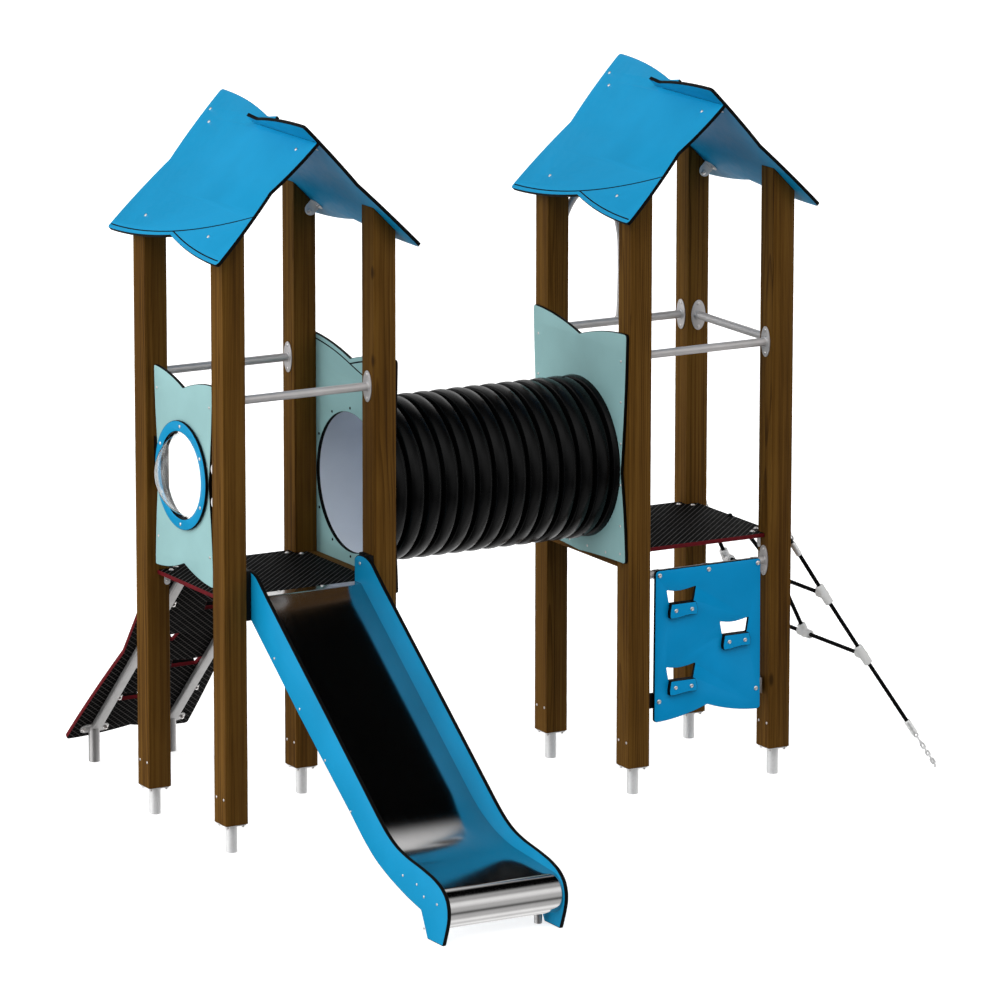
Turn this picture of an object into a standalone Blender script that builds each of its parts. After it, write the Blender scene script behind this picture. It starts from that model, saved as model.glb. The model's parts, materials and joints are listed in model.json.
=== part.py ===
# Double play tower: two roofed four-post towers joined by a corrugated crawl tunnel, with a slide and a
# climbing ramp on the first tower and a climbing panel and a rope net on the second.
#
# Units are metres, +Z up, z = 0 at the bottom of the steel ground anchors. All layout positions below are
# measured from the centre line of the near left post of tower A (post a_near_outer): +X runs along the
# tunnel towards tower B, +Y runs away from the slide. One empty carries every piece and moves that layout
# so that the origin is the middle of the footprint.

import math

import bmesh
import bpy
from mathutils import Matrix, Vector

# ------------------------------------------------------------------ driving dimensions
ORIGIN_X = 1.4277          # layout position of the middle of the footprint
ORIGIN_Y = -0.0147
GAP = 0.0003               # clearance kept between touching pieces

POST = 0.095               # square timber post
PITCH = 0.634              # post centre to post centre in one tower
TOWERS = 1.745             # tower A to tower B, same post to same post
FOOT = 0.111               # height of the steel anchor under each post
ANCHOR_D = 0.0445
ANCHOR_PLATE = (0.086, 0.086, 0.004)

DECK_TOP = 0.966
DECK_T = 0.016
DECK_OVER = 0.005          # deck edge beyond the post centre line

RAIL_Z = 1.722
RAIL_D = 0.032
FLANGE = (0.064, 0.120, 0.004)
PANEL_RAIL_Z = 0.858

PANEL_T = 0.013            # high pressure laminate panels
SLAB_T = 0.014             # roof slabs
RIDGE_Z = 2.696            # where the two outer roof faces cross
SLAB_HALF = 0.448          # half of a slab's length along the ridge
SLAB_WAIST = 0.405
SLAB_KINK = 0.262          # distance of the waist below the ridge, along the slope
EAVE_T = 0.5535            # eave notch, along the slope
PEAK_T = 0.0285            # notch above the ridge, along the slope

TUNNEL_Z = 1.282
TUNNEL_OD = 0.630
TUNNEL_ID = 0.540
TUNNEL_PITCH = 0.0735
RIB_DEPTH = 0.030

SLIDE_INSET = 0.068        # outer face of a slide side from the post centre line
SLIDE_T = 0.015
BED_T = 0.003
ROLL_R = 0.0745

RAMP_T = 0.016
RAMP_TOP_Y = 0.6465        # top edge of the ramp board's underside
RAMP_END_Y = 1.505
RAMP_END_Z = 0.089
STRINGER = (0.040, 0.022)     # stringer width and depth

ROPE_D = 0.016
CONNECTOR_D = 0.034

CX = PITCH / 2
DB = TOWERS

# ------------------------------------------------------------------ scene, collections, materials
for old in list(bpy.data.objects):
    bpy.data.objects.remove(old, do_unlink=True)

scene = bpy.context.scene
tower_col = bpy.data.collections.new("double_play_tower")
cutter_col = bpy.data.collections.new("cutters")
scene.collection.children.link(tower_col)
scene.collection.children.link(cutter_col)

root = bpy.data.objects.new("play_tower_origin", None)
root.location = (-ORIGIN_X, -ORIGIN_Y, 0.0)
tower_col.objects.link(root)

PALETTE = {
    "timber": ((0.115, 0.062, 0.018), 0.62, 0.0),
    "blue": ((0.012, 0.265, 0.520), 0.38, 0.0),
    "blue_dark": ((0.005, 0.200, 0.430), 0.38, 0.0),
    "teal": ((0.330, 0.560, 0.560), 0.42, 0.0),
    "steel": ((0.420, 0.410, 0.400), 0.42, 0.9),
    "zinc": ((0.560, 0.560, 0.550), 0.48, 0.8),
    "stainless": ((0.600, 0.590, 0.580), 0.14, 1.0),
    "deck": ((0.018, 0.018, 0.018), 0.70, 0.0),
    "tunnel": ((0.010, 0.010, 0.010), 0.22, 0.0),
    "clear": ((0.900, 0.920, 0.930), 0.05, 0.0),
    "rope": ((0.012, 0.012, 0.012), 0.85, 0.0),
    "plastic": ((0.620, 0.620, 0.610), 0.45, 0.0),
}


def finish(obj, kind):
    mat = bpy.data.materials.new(obj.name + "_material")
    mat.use_nodes = True
    colour, rough, metal = PALETTE[kind]
    bsdf = mat.node_tree.nodes["Principled BSDF"]
    bsdf.inputs["Base Color"].default_value = (*colour, 1.0)
    bsdf.inputs["Roughness"].default_value = rough
    bsdf.inputs["Metallic"].default_value = metal
    mat.diffuse_color = (*colour, 1.0)
    obj.data.materials.clear()
    obj.data.materials.append(mat)
    return obj


def place(obj, kind=None, location=(0, 0, 0), rotation=(0, 0, 0), cutter=False):
    obj.location = location
    obj.rotation_euler = rotation
    obj.parent = root
    (cutter_col if cutter else tower_col).objects.link(obj)
    if cutter:
        obj.hide_render = True
        obj.display_type = "WIRE"
    if kind:
        finish(obj, kind)
    return obj


def object_from_bmesh(name, bm):
    bmesh.ops.recalc_face_normals(bm, faces=bm.faces)
    mesh = bpy.data.meshes.new(name)
    bm.to_mesh(mesh)
    bm.free()
    return bpy.data.objects.new(name, mesh)


def smooth(obj, angle=35):
    obj.data.shade_smooth()
    obj.data.set_sharp_from_angle(angle=math.radians(angle))
    return obj


def box(name, size, centre=(0, 0, 0)):
    bm = bmesh.new()
    bmesh.ops.create_cube(bm, size=1.0)
    bmesh.ops.scale(bm, vec=size, verts=bm.verts)
    bmesh.ops.translate(bm, vec=centre, verts=bm.verts)
    return object_from_bmesh(name, bm)


def cylinder(name, diameter, length, centre=(0, 0, 0), axis="Z", sides=16):
    bm = bmesh.new()
    bmesh.ops.create_cone(bm, cap_ends=True, segments=sides, radius1=diameter / 2, radius2=diameter / 2,
                          depth=length)
    if axis == "X":
        bmesh.ops.rotate(bm, cent=(0, 0, 0), matrix=Matrix.Rotation(math.pi / 2, 3, "Y"), verts=bm.verts)
    if axis == "Y":
        bmesh.ops.rotate(bm, cent=(0, 0, 0), matrix=Matrix.Rotation(math.pi / 2, 3, "X"), verts=bm.verts)
    bmesh.ops.translate(bm, vec=centre, verts=bm.verts)
    return object_from_bmesh(name, bm)


def bevel(obj, width, segments=1, angle=30):
    mod = obj.modifiers.new("edge", "BEVEL")
    mod.width = width
    mod.segments = segments
    mod.limit_method = "ANGLE"
    mod.angle_limit = math.radians(angle)
    return obj


def boolean(obj, other, operation):
    mod = obj.modifiers.new(operation.lower(), "BOOLEAN")
    mod.operation = operation
    mod.solver = "EXACT"
    mod.object = other
    return obj


def outline_curve(name, loops, thickness):
    """A flat plate: closed poly splines, filled on both sides and extruded by half the thickness each way."""
    curve = bpy.data.curves.new(name, "CURVE")
    curve.dimensions = "2D"
    curve.fill_mode = "BOTH"
    curve.extrude = thickness / 2
    for loop in loops:
        spline = curve.splines.new("POLY")
        spline.points.add(len(loop) - 1)
        for point, (x, y) in zip(spline.points, loop):
            point.co = (x, y, 0.0, 1.0)
        spline.use_cyclic_u = True
    return bpy.data.objects.new(name, curve)


def to_mesh_object(obj, name):
    """Turns a curve object into a welded mesh object, so that it can take or be a Boolean."""
    obj.name = name + "_path"
    scene.collection.objects.link(obj)
    bpy.context.view_layer.update()
    evaluated = obj.evaluated_get(bpy.context.evaluated_depsgraph_get())
    mesh = bpy.data.meshes.new_from_object(evaluated)
    bm = bmesh.new()
    bm.from_mesh(mesh)
    bmesh.ops.remove_doubles(bm, verts=bm.verts, dist=1e-5)
    bmesh.ops.recalc_face_normals(bm, faces=bm.faces)
    bm.to_mesh(mesh)
    bm.free()
    new = bpy.data.objects.new(name, mesh)
    new.matrix_world = obj.matrix_world
    bpy.data.objects.remove(obj, do_unlink=True)
    return new


def tube(name, points, diameter, resolution=3, smooth_path=False):
    """A round bar or tube along a path, with filled ends."""
    curve = bpy.data.curves.new(name, "CURVE")
    curve.dimensions = "3D"
    curve.bevel_depth = diameter / 2
    curve.bevel_resolution = resolution
    curve.use_fill_caps = True
    spline = curve.splines.new("POLY")
    spline.points.add(len(points) - 1)
    for point, co in zip(spline.points, points):
        point.co = (*co, 1.0)
    return bpy.data.objects.new(name, curve)


def rounded(points, radius, steps=3):
    """Rounds the corners of a closed outline. A point may be (x, y) or (x, y, its own radius)."""
    out = []
    count = len(points)
    for i in range(count):
        p = Vector(points[i][:2])
        a = Vector(points[i - 1][:2]) - p
        b = Vector(points[(i + 1) % count][:2]) - p
        r = points[i][2] if len(points[i]) > 2 else radius
        turn = a.angle(b)
        if r <= 0 or turn > math.radians(172):
            out.append((p.x, p.y))
            continue
        reach = min(r / math.tan(turn / 2), a.length * 0.49, b.length * 0.49)
        p0 = p + a.normalized() * reach
        p1 = p + b.normalized() * reach
        for k in range(steps + 1):
            t = k / steps
            q = p0 * (1 - t) ** 2 + p * 2 * t * (1 - t) + p1 * t ** 2
            out.append((q.x, q.y))
    return out


def arc_between(p, q, bulge, steps=4):
    """Points after p up to and including q on a parabola that bows out by bulge to the left of p to q."""
    p, q = Vector(p), Vector(q)
    normal = Vector((-(q - p).y, (q - p).x)).normalized()
    pts = []
    for k in range(1, steps + 1):
        t = k / steps
        c = p + (q - p) * t + normal * bulge * 4 * t * (1 - t)
        pts.append((c.x, c.y))
    return pts


def lobe(u):
    """Rise of the two-lobed edges over their middle notch, at the distance u from the middle."""
    return 0.2464 * abs(u) - 0.2785 * u * u


# ------------------------------------------------------------------ posts and ground anchors
POSTS = {
    "a_near_outer": (0.0, 0.0, 0.0),
    "a_far_outer": (0.0, PITCH, 0.0),
    "a_near_inner": (PITCH, 0.0, 0.0),
    "a_far_inner": (PITCH, PITCH, 0.0),
    "b_near_inner": (DB, 0.0, DB),
    "b_far_inner": (DB, PITCH, DB),
    "b_near_outer": (DB + PITCH, 0.0, DB),
    "b_far_outer": (DB + PITCH, PITCH, DB),
}


def post(name, x, y, tower_x):
    """A square post whose top is cut to the 45 degree slope of the roof slab over it."""
    bm = bmesh.new()
    bmesh.ops.create_cube(bm, size=1.0)
    bmesh.ops.scale(bm, vec=(POST, POST, 1.0), verts=bm.verts)
    for v in bm.verts:
        if v.co.z > 0:
            under = RIDGE_Z - (SLAB_T + GAP) * math.sqrt(2) - abs(x + v.co.x - tower_x - CX)
            v.co.z = under
        else:
            v.co.z = FOOT
    obj = object_from_bmesh(name, bm)
    bevel(obj, 0.004)
    return place(obj, "timber", (x, y, 0.0))


for key, (px, py, tx) in POSTS.items():
    post("post_" + key, px, py, tx)
    plate = box("anchor_" + key, ANCHOR_PLATE, (0, 0, FOOT - GAP - ANCHOR_PLATE[2] / 2))
    stub = cylinder("anchor_tube_" + key, ANCHOR_D, FOOT - 0.002, (0, 0, (FOOT - 0.002) / 2), sides=20)
    place(plate, "zinc", (px, py, 0.0))
    place(stub, None, (px, py, 0.0), cutter=True)
    boolean(plate, stub, "UNION")

# ------------------------------------------------------------------ decks
def deck(name, tower_x):
    """Square board, notched at its corners round the four posts."""
    lo, hi = -DECK_OVER, PITCH + DECK_OVER
    cut = POST / 2 + 2 * GAP
    far = PITCH - cut
    pts = [(cut, lo), (far, lo), (far, cut), (hi, cut), (hi, far), (far, far), (far, hi), (cut, hi), (cut, far),
           (lo, far), (lo, cut), (cut, cut)]
    obj = outline_curve(name, [pts], DECK_T)
    return place(obj, "deck", (tower_x, 0.0, DECK_TOP - DECK_T / 2))


deck("deck_a", 0.0)
deck("deck_b", DB)

# threshold battens that close the slot between each deck and its tunnel panel
for key, bx in (("a", PITCH + DECK_OVER + GAP), ("b", DB - DECK_OVER - GAP)):
    side = 1 if key == "a" else -1
    face = POST / 2 - DECK_OVER - 2 * GAP
    batten = box("threshold_batten_" + key, (face, PITCH - POST - 2 * GAP, 0.070))
    bevel(batten, 0.002)
    place(batten, "timber", (bx + side * face / 2, CX, DECK_TOP - 0.002 - 0.035))

# ------------------------------------------------------------------ roofs
def slab_outline():
    """Half-lapped slab, x along the ridge, y up the slope from the ridge. The lap slot holds the other slab."""
    slot = SLAB_T + GAP
    pts = [(-SLAB_HALF, -slot), (0.0, -slot), (0.0, GAP), (-0.058, GAP)]
    pts = [(p[0], p[1], 0.0) for p in pts]
    pts[0] = (-SLAB_HALF, -slot, 0.004)
    for k in range(11):
        u = -0.058 + (SLAB_HALF + 0.058) * k / 10
        pts.append((u, PEAK_T + lobe(u), 0.018 if k == 10 else 0.0))
    peak = (SLAB_HALF, PEAK_T + lobe(SLAB_HALF))
    kink = (SLAB_WAIST, -SLAB_KINK)
    eave = (SLAB_HALF, -EAVE_T - lobe(SLAB_HALF))
    pts += [(*p, 0.0) for p in arc_between(peak, kink, 0.009)]
    low = arc_between(kink, eave, 0.009)
    pts += [(*p, 0.0) for p in low[:-1]] + [(*eave, 0.018)]
    for k in range(1, 17):
        u = SLAB_HALF - 2 * SLAB_HALF * k / 16
        pts.append((u, -EAVE_T - lobe(u), 0.018 if k == 16 else 0.0))
    near_kink = (-SLAB_WAIST, -SLAB_KINK)
    near_eave = (-SLAB_HALF, -EAVE_T - lobe(SLAB_HALF))
    pts += [(*p, 0.0) for p in arc_between(near_eave, near_kink, 0.009)]
    pts += [(*p, 0.0) for p in arc_between(near_kink, (-SLAB_HALF, -slot), 0.009)[:-1]]
    return rounded(pts, 0.0)


for tower, tx in (("a", 0.0), ("b", DB)):
    for side, turn in (("outer", 0.0), ("inner", math.pi)):
        if tower == "b":
            side = "inner" if side == "outer" else "outer"
        slab = outline_curve("roof_slab_%s_%s" % (tower, side), [slab_outline()], SLAB_T)
        # local x along the ridge, local y up the slope, local z into the roof
        frame = Matrix(((0, math.sqrt(0.5), math.sqrt(0.5)), (1, 0, 0), (0, math.sqrt(0.5), -math.sqrt(0.5))))
        spin = Matrix.Rotation(turn, 3, "Z") @ frame
        inward = spin @ Vector((0, 0, 1))
        origin = Vector((tx + CX, CX, RIDGE_Z)) + inward * (SLAB_T / 2)
        place(slab, "blue", origin, spin.to_euler())

# ------------------------------------------------------------------ window panel with its bubble
FACE_YZ = (math.pi / 2, 0.0, math.pi / 2)      # local x to +Y, local y to +Z, local z to +X
FACE_XZ = (math.pi / 2, 0.0, 0.0)              # local x to +X, local y to +Z, local z to -Y


def circle(cx, cy, r, steps):
    return [(cx + r * math.cos(2 * math.pi * k / steps), cy + r * math.sin(2 * math.pi * k / steps))
            for k in range(steps)]


def waisted_outline(half, waist, top, bottom, notch, mid, notch_low=None, radius=0.014, bow=0.006):
    """Closed outline of a panel with two lobes above and below, narrowest at mid. Counter-clockwise."""
    notch_low = notch if notch_low is None else notch_low
    pts = []
    for k in range(9):
        u = half - 2 * half * k / 8
        t = abs(u) / half
        pts.append((u, top - notch + notch * (1.9 * t - 0.9 * t * t), radius if k in (0, 8) else 0.0))
    pts += [(*p, 0.0) for p in arc_between((-half, top), (-waist, mid), -bow)]
    pts += [(*p, 0.0) for p in arc_between((-waist, mid), (-half, bottom), -bow)[:-1]]
    for k in range(9):
        u = -half + 2 * half * k / 8
        t = abs(u) / half
        pts.append((u, bottom + notch_low - notch_low * (1.9 * t - 0.9 * t * t), radius if k in (0, 8) else 0.0))
    pts += [(*p, 0.0) for p in arc_between((half, bottom), (waist, mid), -bow)]
    pts += [(*p, 0.0) for p in arc_between((waist, mid), (half, top), -bow)[:-1]]
    return rounded(pts, 0.0)


WINDOW_X = -0.027           # outer face of the window panel
WINDOW_Z = 1.387
window_loops = [waisted_outline(0.238, 0.205, 1.769 - WINDOW_Z, 0.998 - WINDOW_Z, 0.049, -0.004),
                circle(0, 0, 0.166, 32)]
window = outline_curve("window_panel", window_loops, PANEL_T)
place(window, "teal", (WINDOW_X + PANEL_T / 2, CX, WINDOW_Z), FACE_YZ)

ring = outline_curve("window_ring", [circle(0, 0, 0.207, 32), circle(0, 0, 0.166, 32)], 0.011)
place(ring, "blue", (WINDOW_X - 0.003 - GAP - 0.0055, CX, WINDOW_Z), FACE_YZ)

# the bubble is a thin blown dome with a flat rim that the ring clamps to the panel
bm = bmesh.new()
DOME_R, DOME_H = 0.160, 0.098
sphere_r = (DOME_R ** 2 + DOME_H ** 2) / (2 * DOME_H)
profile = [(0.186, 0.0)]
profile += [(DOME_R * math.cos(math.pi / 2 * k / 6),
             sphere_r * (math.sqrt(max(0.0, 1 - (DOME_R * math.cos(math.pi / 2 * k / 6) / sphere_r) ** 2)) - 1)
             + DOME_H) for k in range(7)]
verts = [bm.verts.new((r if r > 1e-4 else 0.0, 0, h)) for r, h in profile]
for a, b in zip(verts, verts[1:]):
    bm.edges.new((a, b))
bubble = object_from_bmesh("window_bubble", bm)
screw = bubble.modifiers.new("turn", "SCREW")
screw.axis = "Z"
screw.steps = screw.render_steps = 32
screw.use_merge_vertices = True
screw.merge_threshold = 0.00005
solid = bubble.modifiers.new("sheet", "SOLIDIFY")
solid.thickness = 0.0024
solid.offset = 0.0
place(bubble, "clear", (WINDOW_X - 0.0015, CX, WINDOW_Z), (0, -math.pi / 2, 0))

# ------------------------------------------------------------------ tunnel and its two panels
def tunnel_panel(name, x_centre):
    outline = waisted_outline(0.356, 0.318, 1.817 - TUNNEL_Z, 0.921 - TUNNEL_Z, 0.055, -0.012, notch_low=-0.014,
                              radius=0.020)
    obj = outline_curve(name, [outline, circle(0, 0, TUNNEL_ID / 2, 40)], PANEL_T)
    return place(obj, "teal", (x_centre, CX, TUNNEL_Z), FACE_YZ)


panel_a_x = PITCH + POST / 2 + GAP + PANEL_T / 2
panel_b_x = DB - POST / 2 - GAP - PANEL_T / 2
tunnel_panel("tunnel_panel_a", panel_a_x)
tunnel_panel("tunnel_panel_b", panel_b_x)

tunnel_x0 = panel_a_x + PANEL_T / 2 + GAP
tunnel_x1 = panel_b_x - PANEL_T / 2 - GAP
tunnel_len = tunnel_x1 - tunnel_x0
R_out, R_root, R_in = TUNNEL_OD / 2, TUNNEL_OD / 2 - RIB_DEPTH, TUNNEL_ID / 2
# wall profile, from the far end down the ribs to the near end and back up the bore
ribs = int(tunnel_len / TUNNEL_PITCH)
rest = tunnel_len - ribs * TUNNEL_PITCH
profile = [(R_in, tunnel_len), (R_out, tunnel_len), (R_out, tunnel_len - rest + 0.17 * TUNNEL_PITCH)]
for i in range(ribs):
    top = tunnel_len - rest - i * TUNNEL_PITCH
    profile += [(R_root, top), (R_out, top - 0.17 * TUNNEL_PITCH), (R_out, top - 0.83 * TUNNEL_PITCH)]
profile += [(R_root, 0.0), (R_in, 0.0)]
bm = bmesh.new()
verts = [bm.verts.new((r, 0, h)) for r, h in profile]
for a, b in zip(verts, verts[1:] + verts[:1]):
    bm.edges.new((a, b))
pipe = object_from_bmesh("crawl_tunnel", bm)
screw = pipe.modifiers.new("turn", "SCREW")
screw.axis = "Z"
screw.steps = screw.render_steps = 24
screw.use_merge_vertices = True
screw.merge_threshold = 0.00005
smooth(pipe)
place(pipe, "tunnel", (tunnel_x0, CX, TUNNEL_Z), (0, math.pi / 2, 0))

# ------------------------------------------------------------------ rails with their oval flanges
def oval(width, height, steps=20):
    """Elliptical plate outline."""
    return [(width / 2 * math.cos(2 * math.pi * k / steps), height / 2 * math.sin(2 * math.pi * k / steps))
            for k in range(steps)]


def flange_plate(name, centre, rotation, size=FLANGE):
    curve = outline_curve(name, [oval(size[0], size[1])], size[2])
    obj = to_mesh_object(curve, name)
    return place(obj, None, centre, rotation, cutter=True)


def rail(name, path, ends, diameter=RAIL_D):
    """A tube along a path in layout coordinates, welded to an oval flange at each listed end."""
    bar = to_mesh_object(tube(name, path, diameter, resolution=3), name)
    place(bar, "steel")
    for i, (centre, rotation) in enumerate(ends):
        boolean(bar, flange_plate("%s_flange_%d" % (name, i), centre, rotation), "UNION")
    return bar


def straight_rail(name, axis, start, end, level, line):
    """A rail along X or Y between two post faces."""
    t = FLANGE[2]
    if axis == "X":
        path = [(start + GAP + t * 0.5, line, level), (end - GAP - t * 0.5, line, level)]
        ends = [((start + GAP + t / 2, line, level), FACE_YZ), ((end - GAP - t / 2, line, level), FACE_YZ)]
    else:
        path = [(line, start + GAP + t * 0.5, level), (line, end - GAP - t * 0.5, level)]
        ends = [((line, start + GAP + t / 2, level), FACE_XZ), ((line, end - GAP - t / 2, level), FACE_XZ)]
    return rail(name, path, ends)


inner0, inner1 = POST / 2, PITCH - POST / 2
straight_rail("rail_a_near", "X", inner0, inner1, RAIL_Z, 0.0)
straight_rail("rail_a_far", "X", inner0, inner1, RAIL_Z, PITCH)
straight_rail("rail_b_near", "X", DB + inner0, DB + inner1, RAIL_Z, 0.0)
straight_rail("rail_b_end", "Y", inner0, inner1, RAIL_Z, DB + PITCH)
rail_far = straight_rail("rail_b_far", "X", DB + inner0, DB + inner1, RAIL_Z, PITCH)

# grab arch: rises from the middle of the far rail and bends over to the far inner post
arch_pts = [(0.3030, RAIL_Z), (0.3085, 1.800), (0.3110, 1.900), (0.3105, 1.965)]
for k in range(13):
    angle = math.radians(6 + 152 * k / 12)
    arch_pts.append((0.1695 + 0.141 * math.cos(angle), 2.000 + 0.266 * math.sin(angle)))
arch = to_mesh_object(tube("grab_arch", [(DB + x, PITCH, z) for x, z in arch_pts], 0.028, resolution=3), "grab_arch")
place(arch, None, cutter=True)
# the tube end is cut flush with the post face
arch_trim = place(box("grab_arch_trim", (0.1, 0.1, 0.5)), None, (DB + POST / 2 + GAP + 0.001 - 0.05, PITCH, 2.15),
                  cutter=True)
boolean(arch, arch_trim, "DIFFERENCE")
boolean(rail_far, arch, "UNION")
boolean(rail_far, flange_plate("grab_arch_flange", (DB + POST / 2 + GAP + 0.002, PITCH, 2.150), FACE_YZ,
                               (0.050, 0.096, 0.004)), "UNION")

straight_rail("panel_rail", "X", DB + inner0, DB + inner1, PANEL_RAIL_Z, 0.0)

# ------------------------------------------------------------------ slide
def slide_side_outline():
    """(y, z) outline of one side, from the entrance round the exit and back. Clockwise order is fine."""
    upper = [(0.045, 1.058), (0.020, 1.077), (-0.030, 1.081), (-0.078, 1.068)]
    y, z = -0.166, 0.994
    upper += [(-0.166, 0.998), (-0.640, 0.6480), (-1.020, 0.3650), (-1.085, 0.3200), (-1.150, 0.2880),
              (-1.230, 0.2670), (-1.340, 0.2520), (-1.430, 0.2360), (-1.490, 0.2140), (-1.527, 0.1850),
              (-1.543, 0.1500), (-1.545, 0.1100), (-1.532, 0.0650)]
    lower = [(-1.506, 0.0), (-1.392, 0.0), (-1.372, 0.040), (-1.345, 0.0950), (-1.240, 0.1180),
             (-1.120, 0.1530), (-1.010, 0.1950), (-0.918, 0.2500), (-0.816, 0.3270), (-0.402, 0.6200),
             (-0.039, 0.8900), (-0.0058, 0.9150)]
    rear = [(-0.0058, DECK_TOP + 0.0005), (0.045, DECK_TOP + 0.0005)]
    return upper + lower + rear


side_outline = slide_side_outline()
for key, x in (("outer", SLIDE_INSET + SLIDE_T / 2), ("inner", PITCH - SLIDE_INSET - SLIDE_T / 2)):
    obj = outline_curve("slide_side_" + key, [side_outline], SLIDE_T)
    place(obj, "blue", (x, 0.0, 0.0), FACE_YZ)


def bed_profile():
    """(y, z) of the top of the stainless bed: deck flange, slope, run-out, and the exit roll."""
    pts = [(0.042, DECK_TOP + BED_T + GAP)]
    slope = math.radians(36.46)
    runout = math.radians(4.5)

    def fillet(corner, a_dir, b_dir, radius, steps):
        corner = Vector(corner)
        turn = a_dir.angle(b_dir)
        reach = radius * math.tan(turn / 2)
        start = corner - a_dir * reach
        normal = (b_dir - a_dir * a_dir.dot(b_dir)).normalized()
        centre = start + normal * radius
        arm = start - centre
        out = []
        for k in range(steps + 1):
            angle = turn * k / steps
            out.append(tuple(centre + arm * math.cos(angle) + a_dir * radius * math.sin(angle)))
        return out

    flat = Vector((-1.0, 0.0))
    down = Vector((-math.cos(slope), -math.sin(slope)))
    out_dir = Vector((-math.cos(runout), -math.sin(runout)))
    top_z = DECK_TOP + BED_T + GAP
    bend_y = -0.078 + (top_z - 0.920) / math.tan(slope)
    pts += fillet((bend_y, top_z), flat, down, 0.012, 3)
    pts += fillet((-1.0025, 0.2367), down, out_dir, 0.690, 7)
    # exit roll, tangent to the run-out
    touch = Vector((-1.4625, 0.2005))
    centre = touch + Vector((math.sin(runout), -math.cos(runout))) * ROLL_R
    start = math.atan2(touch.y - centre.y, touch.x - centre.x)
    for k in range(15):
        angle = start + math.radians(200) * k / 14
        pts.append((centre.x + ROLL_R * math.cos(angle), centre.y + ROLL_R * math.sin(angle)))
    return pts


bed_x0 = SLIDE_INSET + SLIDE_T + GAP
bed_x1 = PITCH - SLIDE_INSET - SLIDE_T - GAP
bm = bmesh.new()
rows = [[bm.verts.new((x, y, z)) for y, z in bed_profile()] for x in (bed_x0, bed_x1)]
for k in range(len(rows[0]) - 1):
    bm.faces.new((rows[0][k], rows[0][k + 1], rows[1][k + 1], rows[1][k]))
bed = object_from_bmesh("slide_bed", bm)
if bed.data.polygons[0].normal.z < 0:
    bed.data.flip_normals()
solid = bed.modifiers.new("sheet", "SOLIDIFY")
solid.thickness = BED_T
solid.offset = -1.0
place(bed, "stainless")

# frame under the run-out: a cross tube with two legs
leg_y = -1.405
leg_top = 0.150
cross = cylinder("slide_support", 0.030, bed_x1 - bed_x0 - 0.006, ((bed_x0 + bed_x1) / 2, leg_y, leg_top), axis="X",
                 sides=12)
place(cross, "zinc")
for i, x in enumerate((bed_x0 + 0.031, bed_x1 - 0.031)):
    leg = cylinder("slide_leg_%d" % i, 0.0295, leg_top + 0.004, (x, leg_y, (leg_top + 0.004) / 2), sides=16)
    place(leg, None, cutter=True)
    boolean(cross, leg, "UNION")

# ------------------------------------------------------------------ ramp
ramp_len = (RAMP_END_Y - RAMP_TOP_Y) * math.sqrt(2)


def ramp_outline():
    """x across, y up the slope from the lower edge. The top runs between the posts."""
    full, waist = 0.267, 0.227
    bottom_notch = 0.047
    pts = []
    for k in range(9):
        u = -full + 2 * full * k / 8
        t = abs(u) / full
        pts.append((u, bottom_notch - bottom_notch * (1.9 * t - 0.9 * t * t), 0.016 if k in (0, 8) else 0.0))
    mid = ramp_len * 0.51
    shoulder = ramp_len - 0.300
    pts += [(*p, 0.0) for p in arc_between((full, 0.0), (waist, mid), -0.006, 3)]
    pts += [(full - 0.004, shoulder, 0.0), (full, ramp_len - 0.14, 0.0), (full, ramp_len, 0.0)]
    pts += [(-full, ramp_len, 0.0), (-full, ramp_len - 0.14, 0.0), (-full + 0.004, shoulder, 0.0)]
    pts += [(*p, 0.0) for p in [(-waist, mid)] + arc_between((-waist, mid), (-full, 0.0), -0.006, 3)[:-1]]
    return rounded(pts, 0.0)


def hand_hole(cx, cy, flip=1):
    """Cut-out with a dipped upper edge and slanted ends. Size about 130 x 56 mm."""
    top = [(0.065, 0.028), (0.028, 0.0205), (-0.004, 0.0165), (-0.036, 0.0185), (-0.065, 0.0245)]
    low = [(-0.055, -0.028), (0.055, -0.028)]
    pts = [(cx + x * flip, cy + y) for x, y in top + low]
    return pts if flip > 0 else pts[::-1]


ramp_holes = []
for i, drop in enumerate((0.311, 0.519, 0.726, 0.934)):
    side = -0.0870 if i % 2 == 0 else 0.0870
    ramp_holes.append(hand_hole(side, ramp_len - drop))
ramp = outline_curve("ramp_board", [ramp_outline()] + ramp_holes, RAMP_T)
# local x to -X, local y up the slope towards -Y and +Z, local z out of the top face
s = math.sqrt(0.5)
ramp_frame = Matrix(((-1, 0, 0), (0, -s, s), (0, s, s)))
ramp_origin = Vector((CX, RAMP_END_Y, RAMP_END_Z)) + Vector((0, s, s)) * (RAMP_T / 2)
place(ramp, "deck", ramp_origin, ramp_frame.to_euler())

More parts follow.
